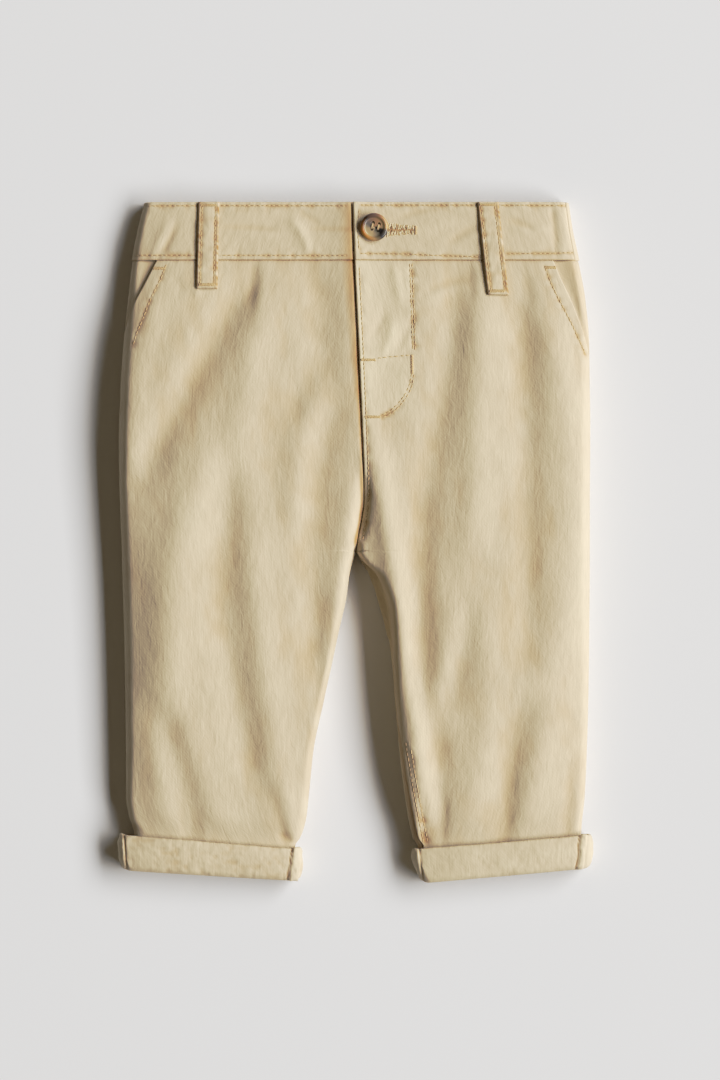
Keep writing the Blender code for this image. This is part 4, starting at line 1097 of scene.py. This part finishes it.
def cuff_ring(side, along, depth):
    """A ring of a cuff at a distance down, moved in from its outer face by a depth."""
    outer, inner, tilt, height, widest = (
        smooth(CUFFS[side], name, along) for name in ("outer", "inner", "tilt", "height", "widest"))
    moved = depth * SIGN[side]
    start = np.array((outer - moved, WAIST_Y - along + tilt))
    end = np.array((inner + moved, WAIST_Y - along - tilt))
    width = np.linalg.norm(end - start)
    top_round, low_round = CUFF_ROUND - CUFF_SHRINK * depth, UNDER_ROUND - CUFF_SHRINK * depth

    def places(radius, turn_count, middle_count):
        turn = radius * (1 - np.cos(np.linspace(0, np.pi / 2, turn_count)))
        middle = np.linspace(radius, width - radius, middle_count + 2)[1:-1]
        return np.concatenate((turn, middle, width - turn[::-1]))

    top, low = places(top_round, *CUFF_TOP_COUNTS), places(low_round, *CUFF_LOW_COUNTS)[1:-1][::-1]
    top_z = widest + (height - depth - widest) * (
        climb(top, top_round, CUFF_SHARE) * climb(width - top, top_round, CUFF_SHARE))
    low_z = widest - (widest - depth) * (quarter(low / low_round) * quarter((width - low) / low_round))
    x, y = on_row(start, end, np.append(top, low))
    return np.stack((x, y, np.append(top_z, low_z)), axis=-1)


def cuff(side, seed):
    """A cuff: down its outside, round the fold at the bottom, and up inside."""
    top_edge, bottom = CUFFS[side]["along"][[0, -1]]
    turn_at, small = bottom - CUFF_ROLL, CUFF_ROLL - CUFF_WALL
    flat = np.append(top_edge + EDGE_STEPS[:6], np.arange(top_edge + 3, turn_at, CUFF_STEP))
    turns = np.linspace(0, np.pi, 15)
    places = np.append(flat, turn_at + CUFF_ROLL * np.sin(turns))
    depths = np.append(roll(flat - top_edge, 0.8), CUFF_ROLL * (1 - np.cos(turns)))
    outer = np.array([cuff_ring(side, *place) for place in zip(places, depths)])
    inner = [cuff_ring(side, a, CUFF_WALL) for a in flat]
    inner += [cuff_ring(side, turn_at + small * np.sin(t), CUFF_ROLL - small * np.cos(t))
              for t in turns]
    x, y, z = np.moveaxis(outer, -1, 0)
    above = ease((z - 5) / 3)
    above[len(flat) + 5:] = 0
    above[:, CUFF_TOP:] = 0
    normal = np.cross(np.gradient(outer, axis=0), np.roll(outer, -1, axis=1) - np.roll(outer, 1, axis=1))
    normal = normal * -SIGN[side]
    normal = normal / np.maximum(np.linalg.norm(normal, axis=-1, keepdims=True), 1e-9)
    lift = 0.08 * noise(x / 2.6, y / 2.4, seed + 1) + 0.07 * noise(x / 1.5, y / 1.4, seed + 2)
    lift = 0.18 * noise(x / 9, y / 6, seed) + CUFF_CRUMPLE[side] * lift
    # the tone follows the crumples: paler on their tops, as worn, and darker in their dips, which is
    # painted shade
    tint = 0.9 * lift + CUFF_TONE[side]
    share = np.clip((places - top_edge) / (bottom - top_edge), 0, 1)[:, None]
    for top_x, low_x, reach, rise in CUFF_SEAMS[side]:
        from_slit = (x - top_x - (low_x - top_x) * share) * np.sign(reach)
        strip = ease(from_slit / 0.6) * ease((abs(reach) + 0.6 - from_slit) / 0.9)
        slit = bell(from_slit + 0.35 * noise(y / 2.3, x / 50, seed + 4), 0.5)
        lift = lift + (rise + 0.25 * noise(x / 1.6, y / 1.7, seed + 3)) * strip - 0.6 * slit
        # each slit is darkened with painted shade; the raised strips are a little paler
        tint = tint - 0.9 * slit + 0.25 * strip
    outer = outer + normal * (above * lift)[..., None]
    # the length is measured down a column near the middle of the front
    down_it = np.linalg.norm(np.diff(outer[:, CUFF_MIDDLE], axis=0), axis=-1)
    return wall_piece(f"cuff_{side}", outer, np.array(inner), np.stack((x, y), axis=-1) / UV_UNIT,
                      above * tint, np.append(0, np.cumsum(down_it)), closed=True)


cuffs = [cuff(side, seed) for side, seed in zip(SIDES, (91, 101))]

# %% [markdown]
# ## Belt loops
# A loop is a strip with its long edges folded under, stitched down both sides and tacked to the
# band at both ends, with the raw ends folded under too. It stands a little off the band between
# its ends, so that a belt can pass.

# %% Belt loops
LOOPS = {"right": (-79.0, -80.0, 48.0), "left": (70.9, 76.2, 51.4)}   # x at both ends, and depth
LOOP_WIDTH = 11.3
LOOP_CLEAR = 0.3
LOOP_PUFF = 0.7
LOOP_THICK = 1.0


def loop_lines(side):
    """The two lines of stitches along a loop's edges, as seen from above."""
    top_x, low_x, low_down = LOOPS[side]
    return [curve_through([(top_x + inset, WAIST_Y - 3), (low_x + inset, WAIST_Y - low_down + 2)])
            for inset in (2 - LOOP_WIDTH / 2, LOOP_WIDTH / 2 - 2)]


def belt_loop(side, seed):
    """A strip that follows the band, lifted along its length by half a sine wave."""
    top_x, low_x, low_down = LOOPS[side]
    downs = spaced(BAND_TOP + SEAM_GAP, low_down, 0.8)
    share = (downs - downs[0]) / (downs[-1] - downs[0])
    places = spaced(-LOOP_WIDTH / 2, LOOP_WIDTH / 2, 0.6, EDGE_STEPS[:5])
    face = []
    for down, s in zip(downs, share):
        start, end, _ = row_ends(side, down)
        across = np.abs(top_x + (low_x - top_x) * s + places - start[0])
        face.append(np.stack((*on_row(start, end, across), front_height(side, down, across)), -1))
    face = np.array(face)
    normal = normals(face)
    normal = normal * np.sign(normal[..., 2:])
    x, y = face[..., 0], face[..., 1]
    lift, tint = sewn_relief(x, y, loop_lines(side), seed)
    lift = lift + 0.12 * noise(x / 5, y / 6, seed + 3) + 0.1 * noise(x / 2.2, y / 3, seed + 4)
    puff = BAND_RISE + LOOP_CLEAR + LOOP_PUFF * np.sin(np.pi * share[:, None])
    edge = LOOP_WIDTH / 2 - np.abs(places)[None, :]
    ends_at = np.minimum(downs - downs[0], downs[-1] - downs)[:, None]
    drop = roll(edge, 1) + roll(ends_at, 0.9)
    step = 0.35 * ease((3.4 - ends_at) / 1.2)          # the ends are folded under, so thicker
    rope = noise((y + 0.6 * x) / 1.3, x / 40, seed + 6)
    outer = face + normal * (puff + LOOP_THICK + step + lift - drop)[..., None]
    outer = outer + normal * (0.16 * rope * bell(edge - 0.9, 0.9))[..., None]
    # the loop's rolled edges are darkened unevenly: painted shade
    return wall_piece(f"belt_loop_{side}", outer, face + normal * puff[..., None],
                      np.stack((x, y), axis=-1) / UV_UNIT,
                      tint + (0.5 * rope - 0.5) * bell(edge, 1.3), downs)


loops = [belt_loop(side, seed) for side, seed in zip(SIDES, (111, 121))]

# %% [markdown]
# ## Sewing
# Topstitching is two threads that lock inside the cloth. From above, each stitch is a short
# thread that lies in its groove and dives at both ends, and the needle leaves a small hole
# between two stitches, whose shade is painted on a small dark capsule. A bar tack is the same
# thread, sewn to and fro across a short line so densely that it makes a raised bar. All of them
# are one kind of shape, an arched capsule, so one function makes them all, and takes the cloth's
# height from rays cast down on it.

# %% Heights of the cloth
def search_tree(pieces):
    """A tree over the faces of some pieces, in millimetres, for casting rays."""
    points, corners, first = [], [], 0
    for piece in pieces:
        place = np.empty(3 * len(piece.data.vertices))
        piece.data.vertices.foreach_get("co", place)
        corner = np.empty(len(piece.data.loops), dtype=np.int32)
        piece.data.loops.foreach_get("vertex_index", corner)
        points.append(place.reshape(-1, 3) / MM)
        corners.append(corner.reshape(-1, 4) + first)
        first += len(points[-1])
    return BVHTree.FromPolygons(np.concatenate(points).tolist(), np.concatenate(corners).tolist())


top_side = search_tree([*fronts, *bands, *loops, *cuffs, *facings])


def heights(places):
    """Height of the cloth at points of the plan, from rays cast straight down."""
    hits = [top_side.ray_cast(Vector((x, y, 80)), Vector((0, 0, -1)))[0] for x, y in places]
    return np.array([hit.z if hit else np.nan for hit in hits])


print("height on the left knee:", heights([(75, -50)]).round(1), "mm")

# %% Thread
PITCH, BETWEEN = 2.65, 0.5     # from one stitch to the next, and the gap between them
THREAD = 0.23                  # radius; real thread is thinner, but pulls cloth up with it
ARCH = 0.2                     # rise of a stitch's middle above its ends
PRICK = 0.36                   # radius of a needle's hole


def capsules(name, starts, ends, radius, arch, sink, finish, level=None):
    """Arched capsules on the cloth: five rings of six points round each line, with flat caps."""
    starts, ends = np.asarray(starts, float), np.asarray(ends, float)
    if level is None:
        places = np.stack((starts, (starts + ends) / 2, ends), axis=1)
        level = heights(places.reshape(-1, 2)).reshape(-1, 3)
    known = np.isfinite(level).all(axis=1)
    starts, ends, level = starts[known], ends[known], level[known]
    t = np.array((0, 0.14, 0.5, 0.86, 1))
    size = radius * np.array((0.5, 0.92, 1, 0.92, 0.5))
    middle = starts[:, None] + (ends - starts)[:, None] * t[:, None]
    z = np.where(t < 0.5, level[:, :1] + (level[:, 1:2] - level[:, :1]) * 2 * t,
                 level[:, 1:2] + (level[:, 2:] - level[:, 1:2]) * (2 * t - 1))
    z = z + arch * (1 - (2 * t - 1) ** 2) - sink
    along = np.append(ends - starts, level[:, 2:] - level[:, :1], axis=1)
    along = along / np.linalg.norm(along, axis=1, keepdims=True)
    aside = np.cross((0.0, 0.0, 1.0), along)
    aside = aside / np.linalg.norm(aside, axis=1, keepdims=True)
    over = np.cross(along, aside)
    angle = np.arange(6)[:, None] * np.pi / 3
    hoop = np.cos(angle) * aside[:, None] + np.sin(angle) * over[:, None]
    points = np.append(middle, z[..., None], axis=-1)[:, :, None] + size[:, None, None] * hoop[:, None]
    one = np.concatenate((grid_quads(5, 6, True), ((0, 1, 2, 3), (0, 3, 4, 5)),
                          ((27, 26, 25, 24), (29, 28, 27, 24))))
    quads = (one[None] + 30 * np.arange(len(points))[:, None, None]).reshape(-1, 4)
    return make_piece(name, points, quads, finish)


def stitch_row(line, seed):
    """Starts and ends of the stitches along a line, a little uneven and slanted, and the holes."""
    reach = travelled(*np.diff(line, axis=0).T)
    random = np.random.default_rng(seed)
    count = max(int(reach[-1] / PITCH), 1)
    at = (np.arange(count) + 0.5 + random.uniform(-0.1, 0.1, count)) * reach[-1] / count
    half = (PITCH - BETWEEN) / 2 * random.uniform(0.85, 1.05, count)

    def place(s):
        return np.stack([np.interp(s, reach, line[:, k]) for k in (0, 1)], axis=-1)

    first, last = place(at - half), place(at + half)
    aside = (last - first)[:, ::-1] * (-1, 1) / np.hypot(*(last - first).T)[:, None]
    slant = random.uniform(0.05, 0.16, (count, 1))
    return first + slant * aside, last - slant * aside, place((at[:-1] + at[1:]) / 2), aside[:-1]


def under_loop(places, margin=0.8):
    """Whether points of the plan lie under a belt loop."""
    found = np.zeros(len(places), bool)
    for top_x, low_x, low_down in LOOPS.values():
        share = (WAIST_Y - places[:, 1]) / low_down
        away = np.abs(places[:, 0] - top_x - (low_x - top_x) * share)
        found |= (away < LOOP_WIDTH / 2 + margin) & (share < 1 + margin / low_down)
    return found


def sew_lines(name, lines, seed, avoid=True):
    """Stitches along some lines, and dark capsules of painted shade at the needle holes; those that a
    belt loop covers are left out.
    """
    rows = zip(*(stitch_row(line, seed + k) for k, line in enumerate(lines)))
    first, last, holes, aside = map(np.concatenate, rows)
    if avoid:
        clear = ~(under_loop(first) | under_loop(last))
        first, last = first[clear], last[clear]
        clear = ~under_loop(holes)
        holes, aside = holes[clear], aside[clear]
    capsules(f"{name}_stitches", first, last, THREAD, ARCH, 0.05, thread)
    # a dark capsule of painted shade lies across each needle hole
    along = aside[:, ::-1] * (1, -1) * PRICK
    capsules(f"{name}_needle_hole_shadows", holes - along, holes + along, PRICK, 0.0, 0.3, hole_shade)
    return len(first)


stitch_count = sum(sew_lines(piece, lines, 200 + 10 * k)
                   for k, (piece, lines) in enumerate(LINES.items()))
stitch_count += sum(sew_lines(f"belt_loop_{side}", loop_lines(side), 300 + 10 * k, avoid=False)
                    for k, side in enumerate(SIDES))
print("stitches:", stitch_count)

# %% Bar tacks and buttonhole
TACK_PITCH = 0.46
TACKS = (                  # x and y of both ends, and the width
    (2.7, 96.8, 10.7, 96.8, 1.5), (4.8, 66.2, 13.4, 66.2, 1.5), (30, 99.5, 30.2, 89.3, 1.7),
    (-108.9, 146.3, -102.4, 146.1, 1.6), (101.4, 146.7, 107.8, 146.6, 1.6),
    (-84.2, 137.2, -75.8, 137.2, 1.6), (71.6, 133.8, 80.2, 133.8, 1.6),
    (-83.4, 180.2, -74.8, 180.2, 1.4), (66.6, 180.4, 75.2, 180.4, 1.4))
PURLS = {                  # seed, count, side of the slit, extra height beside the button
    "dense": (thread, ((421, 20, 1, 1.5), (422, 20, -1, 1.5))),
    "pale": (pale_thread, ((423, 20, 1, 1.3), (424, 20, -1, 1.3))),
    # the dark rows are capsules of painted shade among the buttonhole's stitches
    "dark": (hole_shade, ((425, 7, 1, -0.9), (426, 7, -1, -0.9))),
}


def zigzag(x0, y0, x1, y1, width, seed):
    """Starts and ends of threads laid to and fro across a line."""
    length = np.hypot(x1 - x0, y1 - y0)
    count = int(length / TACK_PITCH)
    random = np.random.default_rng(seed)
    along = np.array(((x1 - x0) / length, (y1 - y0) / length))
    aside = np.array((-along[1], along[0]))
    at = (np.arange(count) + 0.5)[:, None] * TACK_PITCH * along + (x0, y0)
    reach = width / 2 * random.uniform(0.8, 1.1, (count, 1))
    lean = 0.16 * np.where(np.arange(count) % 2, 1, -1)[:, None] * along
    return at - reach * aside - lean, at + reach * aside + lean


def purl(seed, count, side, reach):
    """Loose buttonhole stitches from the slit out to one side, shorter towards the far end."""
    random = np.random.default_rng(seed)
    share = (np.arange(count) + random.uniform(0.1, 0.9, count)) / count
    x = HOLE_START + (HOLE_END - HOLE_START) * share
    tall = (HOLE_TALL + reach * (1 - share) ** 1.5) * random.uniform(0.75, 1.1, count)
    lean = random.uniform(-0.6, 0.6, (2, count))
    near = HOLE_Y + side * random.uniform(0.0, 0.5, count)
    return np.stack((x + lean[0], near), -1), np.stack((x + lean[1], HOLE_Y + side * tall), -1)


tacks = zip(*(zigzag(*tack, 400 + k) for k, tack in enumerate(TACKS)))
capsules("bar_tacks", *map(np.concatenate, tacks), 0.26, 0.28, 0.02, thread)
for name, (finish, rows) in PURLS.items():
    both = map(np.concatenate, zip(*(purl(*row) for row in rows)))
    capsules(f"buttonhole_{name}_stitches", *both, 0.2, 0.3, 0.02, finish)
end = zigzag(HOLE_END + 0.7, HOLE_Y - 2.5, HOLE_END + 0.7, HOLE_Y + 2.5, 1.6, 427)
capsules("buttonhole_end_tack", *end, 0.25, 0.3, 0.03, thread)
print("bar tacks:", len(TACKS), "and a buttonhole", HOLE_END - HOLE_START, "mm long")

# %% [markdown]
# ## Button
# A turned horn button: a rounded rim round a dished face with four holes, sewn on with two bars
# of thread. Horn is clouded: amber, pale tan and nearly black run into one another. One profile
# is turned round, and the holes are pressed in as pits wherever a point of the face lies inside
# one, which makes sharp round holes on a fine grid.

# %% Button
# radius and height from the middle of the back to the middle of the face
BUTTON_PROFILE = np.array((
    (0, 0.5), (3, 0.4), (5.4, 0.1), (6.8, 0.6), (7.4, 1.3), (7.55, 1.8), (7.35, 2.4), (6.9, 2.8),
    (6.3, 2.95), (5.7, 2.8), (5.2, 2.4), (4.6, 2.15), (3.4, 2.05), (0, 2)))
HOLE_CENTRE, HOLE_SPACING, HOLE_TURN, HOLE_RADIUS = (0.7, 0.3), 3.3, np.radians(-12), 0.82
BUTTON_TURNS = 144
BUTTON_SWAY = (-0.42, -0.14, 0.14, 0.42)       # how far the threads of a bar lie to its side

seat_turns = np.linspace(0, 2 * np.pi, 12)
seat_places = np.stack((6 * np.cos(seat_turns), 6 * np.sin(seat_turns)), axis=-1) + BUTTON_PLACE
button_seat = float(np.nanmax(heights(seat_places))) + 0.05
profile = curve_through(BUTTON_PROFILE, 0.14)[1:-1]
angle = np.arange(BUTTON_TURNS) * 2 * np.pi / BUTTON_TURNS
x, y = profile[:, :1] * np.cos(angle), profile[:, :1] * np.sin(angle)
z = profile[:, 1:] + 0 * x
corner_at = HOLE_TURN + np.pi / 4 + np.arange(4) * np.pi / 2
holes_at = np.stack((np.cos(corner_at), np.sin(corner_at)), axis=-1) * HOLE_SPACING / np.sqrt(2)
holes_at = holes_at + HOLE_CENTRE
on_face = (np.arange(len(profile)) > len(profile) // 2)[:, None]
for hole in holes_at:
    away = np.hypot(x - hole[0], y - hole[1])
    z = z - on_face * 1.3 * (1 - ease((away - HOLE_RADIUS + 0.12) / 0.24))
    z = z + on_face * 0.06 * bell(away - HOLE_RADIUS - 0.25, 0.2)
points = np.append(np.stack((x, y, z), axis=-1).reshape(-1, 3),
                   ((0, 0, BUTTON_PROFILE[0, 1]), (0, 0, BUTTON_PROFILE[-1, 1])), axis=0)


def pole(hoop, tip):
    """Close a ring onto one point with quads that take three points of the ring each."""
    a, b, c = hoop[0::2], hoop[1::2], np.roll(hoop, -2)[0::2]
    return np.stack((a, b, c, np.full(len(a), tip)), axis=-1)


hoop = np.arange(BUTTON_TURNS)
quads = np.concatenate((grid_quads(len(profile), BUTTON_TURNS, True),
                        pole(hoop, len(points) - 2)[:, ::-1],
                        pole(hoop + x.size - BUTTON_TURNS, len(points) - 1)))
button = make_piece("horn_button", points + (*BUTTON_PLACE, button_seat), quads, horn)
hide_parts("button")
sway = np.outer(np.tile(BUTTON_SWAY, 2), (np.cos(HOLE_TURN), np.sin(HOLE_TURN)))
from_hole, to_hole = (np.repeat(holes_at[pair], len(BUTTON_SWAY), axis=0) + BUTTON_PLACE
                      for pair in ([0, 1], [3, 2]))
bar_level = button_seat + np.tile((1.75, 2.3, 1.75), (len(sway), 1))
capsules("button_thread", from_hole + sway * 0.5, to_hole + sway, 0.19, 0.35, 0.0, thread, bar_level)
print("button at z", round(button_seat, 2), "mm, points:", len(points))
